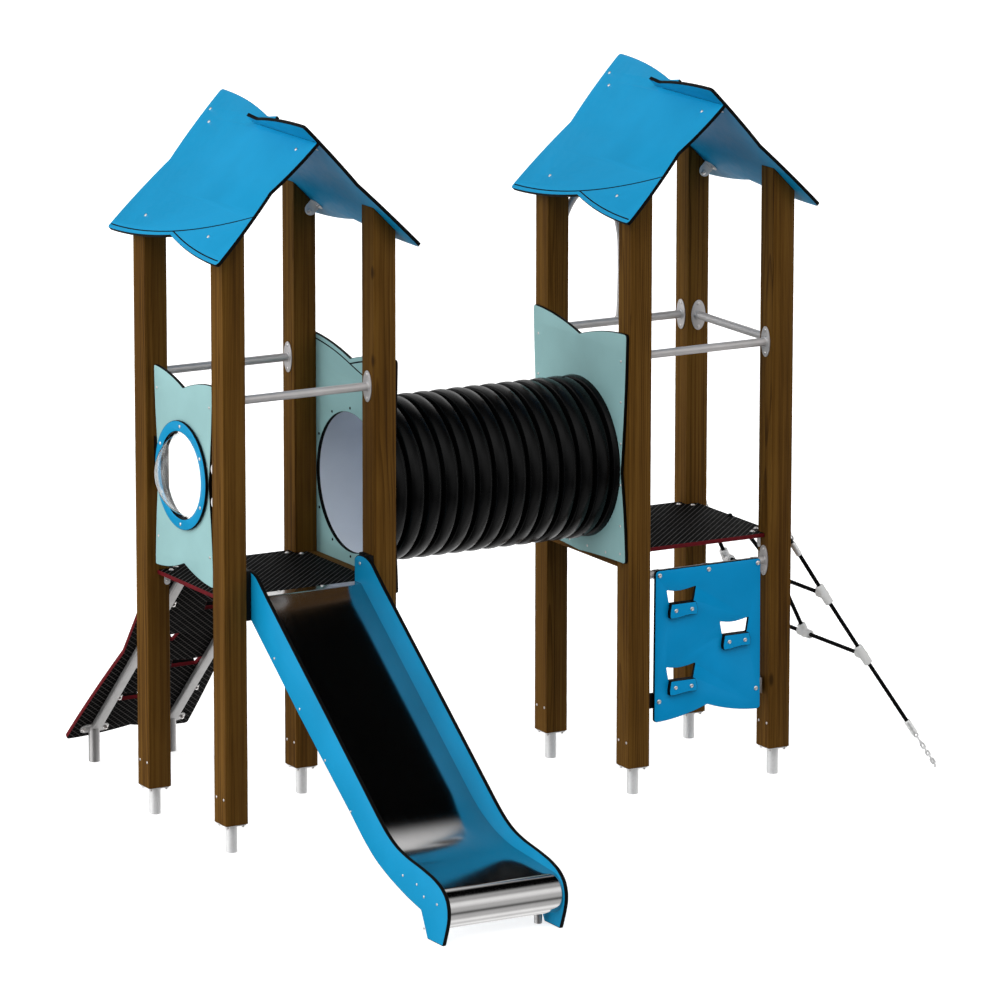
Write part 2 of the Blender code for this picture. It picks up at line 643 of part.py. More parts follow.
for key, x in (("outer", CX - 0.168), ("inner", CX + 0.168)):
    # square tube under the board, from the foot plate up to the deck
    low, high = 0.092, ramp_len - 0.030
    tube_box = box("ramp_stringer_" + key, (STRINGER[0], high - low, STRINGER[1]),
                   (0, (low + high) / 2, -RAMP_T / 2 - GAP - STRINGER[1] / 2))
    place(tube_box, "steel", (x, ramp_origin.y, ramp_origin.z), ramp_frame.to_euler())
    plate = box("ramp_foot_plate_" + key, (0.124, 0.060, 0.006), (0, 0.070, -RAMP_T / 2 - GAP - 0.0032))
    place(plate, None, (x, ramp_origin.y, ramp_origin.z), ramp_frame.to_euler(), cutter=True)
    foot_y = 1.455
    foot_top = RAMP_END_Z + (RAMP_END_Y - foot_y)
    foot = cylinder("ramp_foot_" + key, ANCHOR_D, foot_top + 0.010, (x, foot_y, (foot_top + 0.010) / 2), sides=16)
    place(foot, None, cutter=True)
    # trims the foot tube off at the plate
    trim = box("ramp_foot_trim_" + key, (0.2, 0.3, 0.1), (0, 0.070, -RAMP_T / 2 - GAP - 0.0020 + 0.05))
    place(trim, None, (x, ramp_origin.y, ramp_origin.z), ramp_frame.to_euler(), cutter=True)
    boolean(foot, trim, "DIFFERENCE")
    boolean(tube_box, plate, "UNION")
    boolean(tube_box, foot, "UNION")

# ------------------------------------------------------------------ climbing panel and footholds
CLIMB_Y = -RAIL_D / 2 - GAP - PANEL_T / 2
HOLD_T = 0.020
climb_half = 0.239
climb_holes = [(0.196 - CX, 0.660), (0.4365 - CX, 0.509), (0.196 - CX, 0.355)]
outline = []
top_z, low_z, notch_z = 0.876, 0.276, 0.322
for k in range(9):
    u = -climb_half + 2 * climb_half * k / 8
    t = abs(u) / climb_half
    outline.append((u, low_z + (notch_z - low_z) * (1 - (1.9 * t - 0.9 * t * t)), 0.014 if k in (0, 8) else 0.0))
outline += [(climb_half - 0.003, top_z, 0.014), (-climb_half + 0.003, top_z, 0.014)]
loops = [rounded(outline, 0.0)] + [hand_hole(x, z + 0.111) for x, z in climb_holes]
climb = outline_curve("climbing_panel", loops, PANEL_T)
place(climb, "blue_dark", (DB + CX, CLIMB_Y, 0.0), FACE_XZ)

for i, (x, z) in enumerate(climb_holes):
    # a block bolted on below each cut-out, with a dipped lower edge
    shape = [(-0.056, 0.0), (0.056, 0.0), (0.066, -0.030), (0.062, -0.052), (0.030, -0.0495), (-0.002, -0.0530),
             (-0.034, -0.0580), (-0.060, -0.0575), (-0.063, -0.040)]
    hold = outline_curve("foothold_%d" % (i + 1), [[(x + u * 0.98, z + 0.111 - 0.0285 + v) for u, v in shape]], HOLD_T)
    place(hold, "blue_dark", (DB + CX, CLIMB_Y - PANEL_T / 2 - GAP - HOLD_T / 2, 0.0), FACE_XZ)

# ------------------------------------------------------------------ rope net
NET_TOP_X = DB + PITCH + POST / 2


def lerp(p, q, t):
    return tuple(a + (b - a) * t for a, b in zip(p, q))


def toward(p, q, distance):
    p, q = Vector(p), Vector(q)
    return tuple(p + (q - p).normalized() * distance)


net = {}
for key, y0, y1, pull in (("near", 0.0, -0.240, 0.012), ("far", PITCH, PITCH + 0.240, -0.012)):
    start = (NET_TOP_X + 0.0145, y0, 0.939)
    low = (2.979, y1, 0.012)
    upper = lerp(start, low, 0.255)
    lower = lerp(start, low, 0.520)
    upper = (upper[0], upper[1] + pull, upper[2])
    lower = (lower[0], lower[1] + pull, lower[2])
    net[key] = {"start": start, "upper": upper, "lower": lower, "end": lerp(start, low, 0.860), "low": low}
# the middle rope runs from the deck edge over the upper rung to the middle of the lower rung
across = ROPE_D + 2 * GAP + 0.001
mid_start = (DB + PITCH + DECK_OVER + 0.015, CX - 0.012, DECK_TOP - 0.022)
mid_upper = lerp(net["near"]["upper"], net["far"]["upper"], 0.5)
mid_lower = lerp(net["near"]["lower"], net["far"]["lower"], 0.5)
mid_lower = (mid_lower[0], mid_lower[1], mid_lower[2] - 0.001)
mid_over = (mid_upper[0] + across * 0.86, mid_upper[1], mid_upper[2] + across * 0.51)

NET_PATHS = {
    "net_rope_near": [net["near"][k] for k in ("start", "upper", "lower", "end")],
    "net_rope_far": [net["far"][k] for k in ("start", "upper", "lower", "end")],
    "net_rope_middle": [mid_start, mid_over, toward(mid_lower, mid_over, 0.011)],
    "net_rung_upper": [toward(net["near"]["upper"], mid_upper, 0.011), toward(net["far"]["upper"], mid_upper, 0.011)],
    "net_rung_lower": [toward(net["near"]["lower"], mid_lower, 0.011), mid_lower,
                       toward(net["far"]["lower"], mid_lower, 0.011)],
}
for name, path in NET_PATHS.items():
    place(tube(name, path, ROPE_D, resolution=2), "rope")


def clamp(name, arms, ropes):
    """A moulded clamp that grips the ropes where they meet: a sleeve along each rope, bored for the ropes."""
    body = None
    for i, (at, target) in enumerate(arms):
        path = [toward(at, target, -0.010), toward(at, target, 0.046)]
        part_name = name if i == 0 else "%s_sleeve_%d" % (name, i)
        sleeve = to_mesh_object(tube(part_name, path, CONNECTOR_D - 0.0007 * i, resolution=2), part_name)
        if body is None:
            body = place(sleeve, "plastic")
        else:
            place(sleeve, None, cutter=True)
            boolean(body, sleeve, "UNION")
    for i, rope_name in enumerate(ropes):
        path = NET_PATHS[rope_name]
        if len(path) == 2 or rope_name == "net_rope_middle":
            # the bore runs a little past the rope's end
            path = list(path)
            path[-1] = toward(path[-1], path[-2], -0.003)
            if len(path) == 2:
                path[0] = toward(path[0], path[1], -0.003)
        bore = to_mesh_object(tube("%s_bore_%d" % (name, i), path, ROPE_D + 6 * GAP, resolution=2),
                              "%s_bore_%d" % (name, i))
        place(bore, None, cutter=True)
        boolean(body, bore, "DIFFERENCE")
    return body


for key in ("near", "far"):
    n = net[key]
    clamp("net_clamp_upper_" + key, [(n["upper"], n["start"]), (n["upper"], n["lower"]), (n["upper"], mid_upper)],
          ["net_rope_" + key, "net_rung_upper"])
    clamp("net_clamp_lower_" + key, [(n["lower"], n["upper"]), (n["lower"], n["end"]), (n["lower"], mid_lower)],
          ["net_rope_" + key, "net_rung_lower"])
    # short anchor chain from the rope end to the ground
    chain = tube("anchor_chain_" + key, [toward(n["end"], n["low"], GAP), toward(n["low"], n["end"], 0.002)], 0.012,
                 resolution=2)
    place(chain, "zinc")
clamp("net_clamp_upper_middle", [(mid_upper, net["near"]["upper"]), (mid_upper, net["far"]["upper"]),
                                 (mid_over, mid_start), (mid_over, mid_lower)],
      ["net_rung_upper", "net_rope_middle"])
clamp("net_clamp_lower_middle", [(mid_lower, net["near"]["lower"]), (mid_lower, net["far"]["lower"]),
                                 (mid_lower, mid_over)],
      ["net_rung_lower", "net_rope_middle"])

bpy.context.view_layer.update()
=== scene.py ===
import json
import math

import bmesh
import bpy
import numpy as np
from mathutils import Matrix, Vector
from mathutils.geometry import tessellate_polygon

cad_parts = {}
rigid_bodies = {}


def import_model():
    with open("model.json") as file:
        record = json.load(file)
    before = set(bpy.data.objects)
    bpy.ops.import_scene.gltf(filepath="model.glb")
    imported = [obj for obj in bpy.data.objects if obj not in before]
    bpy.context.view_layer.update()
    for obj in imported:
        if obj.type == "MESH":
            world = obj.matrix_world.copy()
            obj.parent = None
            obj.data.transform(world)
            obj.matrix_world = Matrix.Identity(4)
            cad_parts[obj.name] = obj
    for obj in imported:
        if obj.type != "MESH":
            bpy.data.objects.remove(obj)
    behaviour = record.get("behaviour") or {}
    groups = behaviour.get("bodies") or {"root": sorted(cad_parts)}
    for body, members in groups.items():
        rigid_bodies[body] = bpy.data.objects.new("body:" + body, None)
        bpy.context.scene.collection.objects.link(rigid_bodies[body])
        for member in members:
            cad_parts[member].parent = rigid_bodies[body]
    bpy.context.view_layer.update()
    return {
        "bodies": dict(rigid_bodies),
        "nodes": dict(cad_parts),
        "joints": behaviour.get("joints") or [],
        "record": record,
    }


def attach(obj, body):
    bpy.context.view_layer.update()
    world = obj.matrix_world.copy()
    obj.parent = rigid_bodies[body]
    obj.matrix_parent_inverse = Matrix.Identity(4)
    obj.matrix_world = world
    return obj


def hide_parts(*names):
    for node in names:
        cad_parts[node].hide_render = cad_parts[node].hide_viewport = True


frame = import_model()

PI = math.pi
S = math.sqrt(0.5)
scene = bpy.context.scene

# ------------------------------------------------------------------ sizes shared with the CAD layout
# Layout coordinates start at the centre line of post a_near_outer. OFF moves them to the frame.
OFF = np.array((-1.4277, 0.0147, 0.0))
GAP = 0.0003
POST, PITCH, DB, FOOT = 0.095, 0.634, 1.745, 0.111
CX = PITCH / 2
DECK_TOP, DECK_T, DECK_OVER = 0.966, 0.016, 0.005
RAIL_Z, RAIL_D, PANEL_RAIL_Z = 1.722, 0.032, 0.858
PANEL_T, SLAB_T, RIDGE_Z = 0.013, 0.014, 2.696
SLAB_HALF, SLAB_WAIST, SLAB_KINK, EAVE_T, PEAK_T = 0.448, 0.405, 0.262, 0.5535, 0.0285
TUNNEL_Z, TUNNEL_OD, TUNNEL_ID, TUNNEL_PITCH, RIB_DEPTH = 1.282, 0.630, 0.540, 0.0735, 0.030
WINDOW_X, WINDOW_Z = -0.027, 1.387
SLIDE_INSET, SLIDE_T, BED_T, ROLL_R = 0.068, 0.015, 0.003, 0.0745
RAMP_T, RAMP_TOP_Y, RAMP_END_Y, RAMP_END_Z = 0.016, 0.6465, 1.505, 0.089
RAMP_LEN = (RAMP_END_Y - RAMP_TOP_Y) * math.sqrt(2)
STRINGER_W, STRINGER_H, ROPE_D, ANCHOR_D = 0.040, 0.022, 0.016, 0.0445

# ------------------------------------------------------------------ camera
cam_data = bpy.data.cameras.new("camera")
cam_data.sensor_width = 36.0
cam_data.lens = 259.36
cam_data.clip_start, cam_data.clip_end = 0.5, 400.0
cam = bpy.data.objects.new("camera", cam_data)
scene.collection.objects.link(cam)


def camera_axes(azimuth, elevation, roll):
    a, e, r = (math.radians(v) for v in (azimuth, elevation, roll))
    right = Vector((math.cos(a), math.sin(a), 0.0))
    back = Vector((math.sin(a) * math.cos(e), -math.cos(a) * math.cos(e), math.sin(e)))
    up = back.cross(right)
    return right * math.cos(r) + up * math.sin(r), up * math.cos(r) - right * math.sin(r), back


cam_right, cam_up, cam_back = camera_axes(-29.543, 12.583, 0.078)
cam.matrix_world = Matrix(((cam_right.x, cam_up.x, cam_back.x, -13.4067),
                           (cam_right.y, cam_up.y, cam_back.y, -23.1583),
                           (cam_right.z, cam_up.z, cam_back.z, 7.170), (0, 0, 0, 1)))
scene.camera = cam


# ------------------------------------------------------------------ materials
def new_material(name):
    mat = bpy.data.materials.new(name)
    mat.use_nodes = True
    nt = mat.node_tree
    nt.nodes.clear()
    out = nt.nodes.new("ShaderNodeOutputMaterial")
    bsdf = nt.nodes.new("ShaderNodeBsdfPrincipled")
    nt.links.new(bsdf.outputs["BSDF"], out.inputs["Surface"])
    return mat, nt, bsdf


def put(nt, kind, ins=None, **props):
    node = nt.nodes.new(kind)
    for key, value in props.items():
        setattr(node, key, value)
    for key, value in (ins or {}).items():
        socket = node.inputs[key]
        if isinstance(value, bpy.types.NodeSocket):
            nt.links.new(value, socket)
        else:
            socket.default_value = value
    return node


def grain_at(nt, scale=(1, 1, 1), shift=(0, 0, 0)):
    """The piece's own coordinates in metres, stretched by scale."""
    tex = put(nt, "ShaderNodeAttribute", attribute_name="tex")
    mapping = put(nt, "ShaderNodeMapping", {"Vector": tex.outputs["Vector"], "Scale": scale, "Location": shift})
    return mapping.outputs["Vector"]


def noise(nt, vector, scale, detail=3.0, rough=0.5, distort=0.0):
    return put(nt, "ShaderNodeTexNoise", {"Vector": vector, "Scale": scale, "Detail": detail, "Roughness": rough,
                                          "Distortion": distort}).outputs["Fac"]


def ramp(nt, fac, stops, interpolation="LINEAR"):
    node = put(nt, "ShaderNodeValToRGB", {"Fac": fac})
    node.color_ramp.interpolation = interpolation
    els = node.color_ramp.elements
    while len(els) > 1:
        els.remove(els[-1])
    els[0].position, els[0].color = stops[0][0], (*stops[0][1], 1.0)
    for pos, colour in stops[1:]:
        e = els.new(pos)
        e.color = (*colour, 1.0)
    return node.outputs["Color"]


def span(nt, fac, a, b, c, d, kind="LINEAR"):
    return put(nt, "ShaderNodeMapRange", {"Value": fac, "From Min": a, "From Max": b, "To Min": c, "To Max": d},
               interpolation_type=kind).outputs["Result"]


def calc(nt, op, a, b=0.0, clamp=False):
    return put(nt, "ShaderNodeMath", {0: a, 1: b}, operation=op, use_clamp=clamp).outputs[0]


def blend_colour(nt, fac, a, b, mode="MIX"):
    node = nt.nodes.new("ShaderNodeMix")
    node.data_type = "RGBA"
    node.blend_type = mode
    for index, value in ((0, fac), (6, a), (7, b)):
        socket = node.inputs[index]
        if isinstance(value, bpy.types.NodeSocket):
            nt.links.new(value, socket)
        else:
            socket.default_value = (*value, 1.0) if isinstance(value, tuple) else value
    return node.outputs[2]


def bumped(nt, bsdf, height, strength, distance):
    b = put(nt, "ShaderNodeBump", {"Height": height, "Strength": strength, "Distance": distance})
    nt.links.new(b.outputs["Normal"], bsdf.inputs["Normal"])
    return b


def timber_material(name="stained_pine", dark=(0.038, 0.0150, 0.0020), mid=(0.094, 0.041, 0.0056),
                    light=(0.156, 0.074, 0.0125)):
    """Stained pine. tex x and y are measured from the pith, z runs along the grain."""
    mat, nt, bsdf = new_material(name)
    base = grain_at(nt)
    wander = put(nt, "ShaderNodeTexNoise", {"Vector": grain_at(nt, (5, 5, 0.9)), "Scale": 1.0, "Detail": 2.0})
    shift = put(nt, "ShaderNodeVectorMath", {0: wander.outputs["Color"], 1: (0.5, 0.5, 0.5)}, operation="SUBTRACT")
    moved = put(nt, "ShaderNodeVectorMath", {0: shift.outputs[0], 1: (0.030, 0.030, 0.0)}, operation="MULTIPLY")
    bent = put(nt, "ShaderNodeVectorMath", {0: base, 1: moved.outputs[0]}, operation="ADD")
    flat = put(nt, "ShaderNodeVectorMath", {0: bent.outputs[0], 1: (1.0, 1.0, 0.0)}, operation="MULTIPLY")
    radius = put(nt, "ShaderNodeVectorMath", {0: flat.outputs[0]}, operation="LENGTH").outputs["Value"]
    turns = calc(nt, "MULTIPLY", radius, 175.0)
    cycle = calc(nt, "FRACT", turns, 0.0)
    late = span(nt, cycle, 0.45, 0.97, 0.0, 1.0, "SMOOTHSTEP")
    drop = span(nt, cycle, 0.965, 1.0, 1.0, 0.0)
    rings = calc(nt, "MULTIPLY", late, drop)
    fibre = noise(nt, grain_at(nt, (330, 330, 5.0)), 1.0, 4.0, 0.62)
    streak = noise(nt, grain_at(nt, (75, 75, 1.1)), 1.0, 3.0, 0.55)
    patch = noise(nt, grain_at(nt, (7, 7, 1.7)), 1.0, 2.0, 0.5)
    mix1 = calc(nt, "MULTIPLY", streak, 0.62)
    mix2 = calc(nt, "MULTIPLY_ADD", fibre, 0.30)
    nt.links.new(mix1, mix2.node.inputs[2])
    mix3 = calc(nt, "MULTIPLY_ADD", rings, -0.17)
    nt.links.new(mix2, mix3.node.inputs[2])
    mix4 = calc(nt, "MULTIPLY_ADD", patch, 0.34)
    nt.links.new(mix3, mix4.node.inputs[2])
    tone = ramp(nt, mix4, [(0.34, dark), (0.52, mid), (0.72, light)])
    # a few small knots, drawn out along the grain
    cells = put(nt, "ShaderNodeTexVoronoi", {"Vector": grain_at(nt, (9.0, 9.0, 3.6)), "Scale": 1.0})
    chance = put(nt, "ShaderNodeSeparateColor", {"Color": cells.outputs["Color"]}).outputs[0]
    rare = span(nt, chance, 0.80, 0.84, 0.0, 1.0)
    knot = calc(nt, "MULTIPLY", span(nt, cells.outputs["Distance"], 0.04, 0.13, 1.0, 0.0, "SMOOTHSTEP"), rare)
    tone = blend_colour(nt, calc(nt, "MULTIPLY", knot, 0.75), tone, tuple(c * 0.45 for c in dark))
    nt.links.new(tone, bsdf.inputs["Base Color"])
    nt.links.new(span(nt, fibre, 0.3, 0.75, 0.50, 0.70), bsdf.inputs["Roughness"])
    bsdf.inputs["Specular IOR Level"].default_value = 0.06
    height = calc(nt, "MULTIPLY_ADD", rings, 0.35)
    nt.links.new(calc(nt, "MULTIPLY", fibre, 0.65), height.node.inputs[2])
    bumped(nt, bsdf, height, 0.35, 0.0006)
    return mat


def laminate_material(name, colour, rough=0.33):
    """High pressure laminate: satin decor face with a fine pearl texture and a little handling wear."""
    mat, nt, bsdf = new_material(name)
    cloud = noise(nt, grain_at(nt, (3.1, 3.1, 3.1)), 1.0, 3.0, 0.55)
    speck = noise(nt, grain_at(nt, (420, 420, 420)), 1.0, 2.0, 0.5)
    low = tuple(c * 0.93 for c in colour)
    high = tuple(min(1.0, c * 1.06 + 0.002) for c in colour)
    tone = ramp(nt, cloud, [(0.32, low), (0.68, high)])
    tone = blend_colour(nt, span(nt, speck, 0.35, 0.7, 0.0, 0.10), tone, tuple(c * 0.78 for c in colour))
    scuff = noise(nt, grain_at(nt, (190, 14, 14), (3.1, 0.7, 0.0)), 1.0, 5.0, 0.7, 1.6)
    scratch = span(nt, scuff, 0.66, 0.72, 0.0, 1.0)
    tone = blend_colour(nt, calc(nt, "MULTIPLY", scratch, 0.10), tone, tuple(min(1.0, c * 1.4 + 0.04) for c in colour))
    nt.links.new(tone, bsdf.inputs["Base Color"])
    gloss = span(nt, noise(nt, grain_at(nt, (26, 26, 26)), 1.0, 4.0, 0.6), 0.3, 0.7, rough - 0.05, rough + 0.07)
    nt.links.new(gloss, bsdf.inputs["Roughness"])
    bsdf.inputs["Specular IOR Level"].default_value = 0.09
    grain = noise(nt, grain_at(nt, (700, 700, 700)), 1.0, 1.0, 0.4)
    bumped(nt, bsdf, grain, 0.10, 0.0003)
    return mat


def core_material(name="laminate_core"):
    """Black phenolic core seen at the machined edges: faint pressed layers across the thickness."""
    mat, nt, bsdf = new_material(name)
    layers = noise(nt, grain_at(nt, (14, 14, 2600)), 1.0, 2.0, 0.5)
    nt.links.new(ramp(nt, layers, [(0.3, (0.0010, 0.0009, 0.0009)), (0.7, (0.0030, 0.0026, 0.0024))]),
                 bsdf.inputs["Base Color"])
    nt.links.new(span(nt, noise(nt, grain_at(nt, (240, 240, 900)), 1.0, 3.0), 0.3, 0.7, 0.50, 0.68),
                 bsdf.inputs["Roughness"])
    bsdf.inputs["Specular IOR Level"].default_value = 0.08
    bumped(nt, bsdf, layers, 0.12, 0.0002)
    return mat


def film_material(name="mesh_film", line=(0.105, 0.098, 0.095), base=(0.0012, 0.0011, 0.0011), pitch=0.0198, weak=0.45):
    """Anti-slip film with a wire mesh pressed in at 45 degrees to the board's sides."""
    mat, nt, bsdf = new_material(name)
    tex = put(nt, "ShaderNodeSeparateXYZ", {"Vector": grain_at(nt)})
    x, y = tex.outputs[0], tex.outputs[1]
    heights = []
    for op, share in (("ADD", weak), ("SUBTRACT", 1.0)):
        along = calc(nt, "MULTIPLY", calc(nt, op, x, y), S / pitch)
        away = calc(nt, "ABSOLUTE", calc(nt, "SUBTRACT", calc(nt, "FRACT", along), 0.5))
        heights.append(span(nt, away, 0.40, 0.46, 0.0, share, "SMOOTHSTEP"))
    wires = calc(nt, "MAXIMUM", heights[0], heights[1])
    worn = noise(nt, grain_at(nt, (22, 22, 22)), 1.0, 4.0, 0.62)
    fine = noise(nt, grain_at(nt, (900, 900, 900)), 1.0, 2.0, 0.5)
    strength = calc(nt, "MULTIPLY", wires, span(nt, worn, 0.25, 0.7, 0.70, 1.0))
    under = ramp(nt, fine, [(0.3, tuple(c * 0.6 for c in base)), (0.7, tuple(c * 1.5 for c in base))])
    nt.links.new(blend_colour(nt, strength, under, line), bsdf.inputs["Base Color"])
    nt.links.new(span(nt, worn, 0.3, 0.7, 0.62, 0.80), bsdf.inputs["Roughness"])
    bsdf.inputs["Specular IOR Level"].default_value = 0.015
    height = calc(nt, "MULTIPLY_ADD", fine, 0.08)
    nt.links.new(wires, height.node.inputs[2])
    bumped(nt, bsdf, height, 0.55, 0.0008)
    return mat


def edge_paint_material(name="board_edge"):
    """Dark red sealing paint over the plies of the board's edge."""
    mat, nt, bsdf = new_material(name)
    plies = noise(nt, grain_at(nt, (9, 9, 700)), 1.0, 2.0, 0.5)
    blot = noise(nt, grain_at(nt, (34, 34, 120)), 1.0, 3.0, 0.6)
    tone = ramp(nt, blot, [(0.3, (0.105, 0.0050, 0.0085)), (0.7, (0.165, 0.0090, 0.0145))])
    tone = blend_colour(nt, span(nt, plies, 0.42, 0.62, 0.0, 0.30), tone, (0.050, 0.006, 0.008))
    nt.links.new(tone, bsdf.inputs["Base Color"])
    nt.links.new(span(nt, blot, 0.3, 0.7, 0.45, 0.62), bsdf.inputs["Roughness"])
    bsdf.inputs["Specular IOR Level"].default_value = 0.08
    bumped(nt, bsdf, plies, 0.25, 0.0004)
    return mat


def metal_material(name, colour, rough, metallic=1.0, brushed=(60, 60, 60), spread=0.06, spangle=0.0, bump=0.06,
                   tint=0.06):
    mat, nt, bsdf = new_material(name)
    lines = noise(nt, grain_at(nt, brushed), 1.0, 4.0, 0.62)
    cloud = noise(nt, grain_at(nt, (11, 11, 11)), 1.0, 3.0, 0.5)
    tone = ramp(nt, cloud, [(0.3, tuple(c * (1 - tint) for c in colour)), (0.7, tuple(min(1, c * (1 + tint)) for c in colour))])
    if spangle:
        cells = put(nt, "ShaderNodeTexVoronoi", {"Vector": grain_at(nt, (85, 85, 85)), "Scale": 1.0})
        grey = put(nt, "ShaderNodeSeparateColor", {"Color": cells.outputs["Color"]}).outputs[0]
        tone = blend_colour(nt, span(nt, grey, 0.0, 1.0, 0.0, spangle), tone, tuple(c * 0.72 for c in colour))
    nt.links.new(tone, bsdf.inputs["Base Color"])
    nt.links.new(span(nt, lines, 0.3, 0.7, rough - spread, rough + spread), bsdf.inputs["Roughness"])
    bsdf.inputs["Metallic"].default_value = metallic
    bumped(nt, bsdf, lines, bump, 0.0002)
    return mat


def plastic_material(name, colour, rough, bump=0.05, scale=260, spec=0.4, wear=0.08):
    mat, nt, bsdf = new_material(name)
    cloud = noise(nt, grain_at(nt, (6, 6, 6)), 1.0, 3.0, 0.5)
    tone = ramp(nt, cloud, [(0.3, tuple(c * (1 - wear) for c in colour)), (0.7, tuple(min(1, c * (1 + wear) + 0.001) for c in colour))])
    nt.links.new(tone, bsdf.inputs["Base Color"])
    fine = noise(nt, grain_at(nt, (scale, scale, scale)), 1.0, 2.0, 0.5)
    haze = noise(nt, grain_at(nt, (19, 19, 19)), 1.0, 4.0, 0.6)
    nt.links.new(span(nt, haze, 0.3, 0.7, rough - 0.04, rough + 0.06), bsdf.inputs["Roughness"])
    bsdf.inputs["Specular IOR Level"].default_value = spec
    bumped(nt, bsdf, fine, bump, 0.0003)
    return mat


def rope_material(name="black_rope"):
    """Polyamide strands laid round steel cores: fine yarns along each strand."""
    mat, nt, bsdf = new_material(name)
    yarn = noise(nt, grain_at(nt, (1500, 1500, 130)), 1.0, 3.0, 0.6)
    nt.links.new(ramp(nt, yarn, [(0.3, (0.0006, 0.0006, 0.0007)), (0.7, (0.0034, 0.0034, 0.0036))]),
                 bsdf.inputs["Base Color"])
    nt.links.new(span(nt, yarn, 0.3, 0.7, 0.60, 0.80), bsdf.inputs["Roughness"])
    bsdf.inputs["Specular IOR Level"].default_value = 0.05
    bumped(nt, bsdf, yarn, 0.35, 0.0005)
    return mat


def dome_material(name="clear_acrylic"):
    mat, nt, bsdf = new_material(name)
    haze = noise(nt, grain_at(nt, (30, 30, 30)), 1.0, 3.0, 0.6)
    nt.links.new(ramp(nt, haze, [(0.3, (0.90, 0.935, 0.935)), (0.7, (0.96, 0.98, 0.98))]), bsdf.inputs["Base Color"])
    nt.links.new(span(nt, haze, 0.3, 0.7, 0.015, 0.05), bsdf.inputs["Roughness"])
    bsdf.inputs["Transmission Weight"].default_value = 1.0
    bsdf.inputs["IOR"].default_value = 1.49
    bumped(nt, bsdf, noise(nt, grain_at(nt, (9, 9, 9)), 1.0, 2.0, 0.5), 0.05, 0.001)
    return mat


TIMBER = timber_material()
BLUE = laminate_material("laminate_blue", (0.0040, 0.282, 0.545))
# painted light: a brighter copy of the same blue laminate, lifting the climbing panel and footholds whose faces turn
# away from the main light
BLUE_LIT_COPY = laminate_material("laminate_blue_lit_copy", (0.0008, 0.330, 0.715))
TEAL = laminate_material("laminate_teal", (0.315, 0.535, 0.540))
CORE = core_material()
FILM = film_material()
DECK_FILM = film_material("deck_film", (0.140, 0.136, 0.132), (0.0006, 0.0006, 0.0006), 0.0198, 0.10)
EDGE = edge_paint_material()
RAIL = metal_material("satin_tube", (0.58, 0.56, 0.555), 0.52, 0.60, (160, 160, 9), 0.05, bump=0.05)
ZINC = metal_material("hot_dip_zinc", (0.84, 0.84, 0.84), 0.60, 0.30, (60, 60, 60), 0.07, spangle=0.22, bump=0.08)
GALV = metal_material("galvanised_tube", (0.50, 0.49, 0.485), 0.46, 0.80, (90, 90, 30), 0.06, spangle=0.22, bump=0.06)
STAINLESS = metal_material("polished_sheet", (0.56, 0.552, 0.548), 0.115, 1.0, (420, 420, 3.0), 0.035, bump=0.035, tint=0.03)
BOLT = metal_material("bolt_steel", (0.80, 0.765, 0.75), 0.30, 1.0, (260, 260, 260), 0.05, bump=0.05)
BLACK_PIPE = plastic_material("black_polyethylene", (0.0020, 0.0020, 0.0021), 0.27, 0.05, 120, 0.10, 0.20)
LINER = plastic_material("pale_liner", (0.80, 0.86, 0.95), 0.42, 0.05, 160, 0.40, 0.03)
CLAMP = plastic_material("clamp_grey", (0.78, 0.78, 0.77), 0.42, 0.08, 300, 0.40, 0.04)
FERRULE = metal_material("pressed_ferrule", (0.88, 0.88, 0.87), 0.42, 0.55, (200, 200, 200), 0.05, bump=0.06)
BLACK = plastic_material("black_spacer", (0.0025, 0.0025, 0.0028), 0.50, 0.10, 300, 0.10, 0.20)
ROPE = rope_material()
ACRYLIC = dome_material()

# ------------------------------------------------------------------ mesh tools


def F(origin, x, y, z):
    m = np.eye(4)
    m[:3, 0], m[:3, 1], m[:3, 2], m[:3, 3] = x, y, z, origin
    return m


def facing(origin, normal, spin=0.0):
    """Frame whose z looks along normal."""
    z = np.array(normal, float)
    z /= np.linalg.norm(z)
    ref = np.array((0.0, 0.0, 1.0)) if abs(z[2]) < 0.9 else np.array((1.0, 0.0, 0.0))
    x = np.cross(ref, z)
    x /= np.linalg.norm(x)
    y = np.cross(z, x)
    c, s = math.cos(spin), math.sin(spin)
    return F(origin, x * c + y * s, y * c - x * s, z)


class Geo:
    """Closed shells gathered into one mesh. Points are layout coordinates; tex holds local coordinates."""

    def __init__(self):
        self.v, self.t, self.f, self.m, self.n = [], [], [], [], 0

    def add(self, shell, frame=None, mat=None, tex=None):
        v, f, m = shell[0], shell[1], (shell[2] if len(shell) > 2 else 0)
        v = np.asarray(v, float).reshape(-1, 3)
        t = v if tex is None else np.asarray(tex, float)
        if len(shell) > 3 and tex is None:
            t = np.asarray(shell[3], float)
        if frame is not None:
            v = v @ frame[:3, :3].T + frame[:3, 3]
        self.v.append(v)
        self.t.append(t)
        for i, face in enumerate(f):
            self.f.append(tuple(k + self.n for k in face))
            self.m.append((mat if mat is not None else (m[i] if isinstance(m, (list, tuple, np.ndarray)) else m)))
        self.n += len(v)
        return self


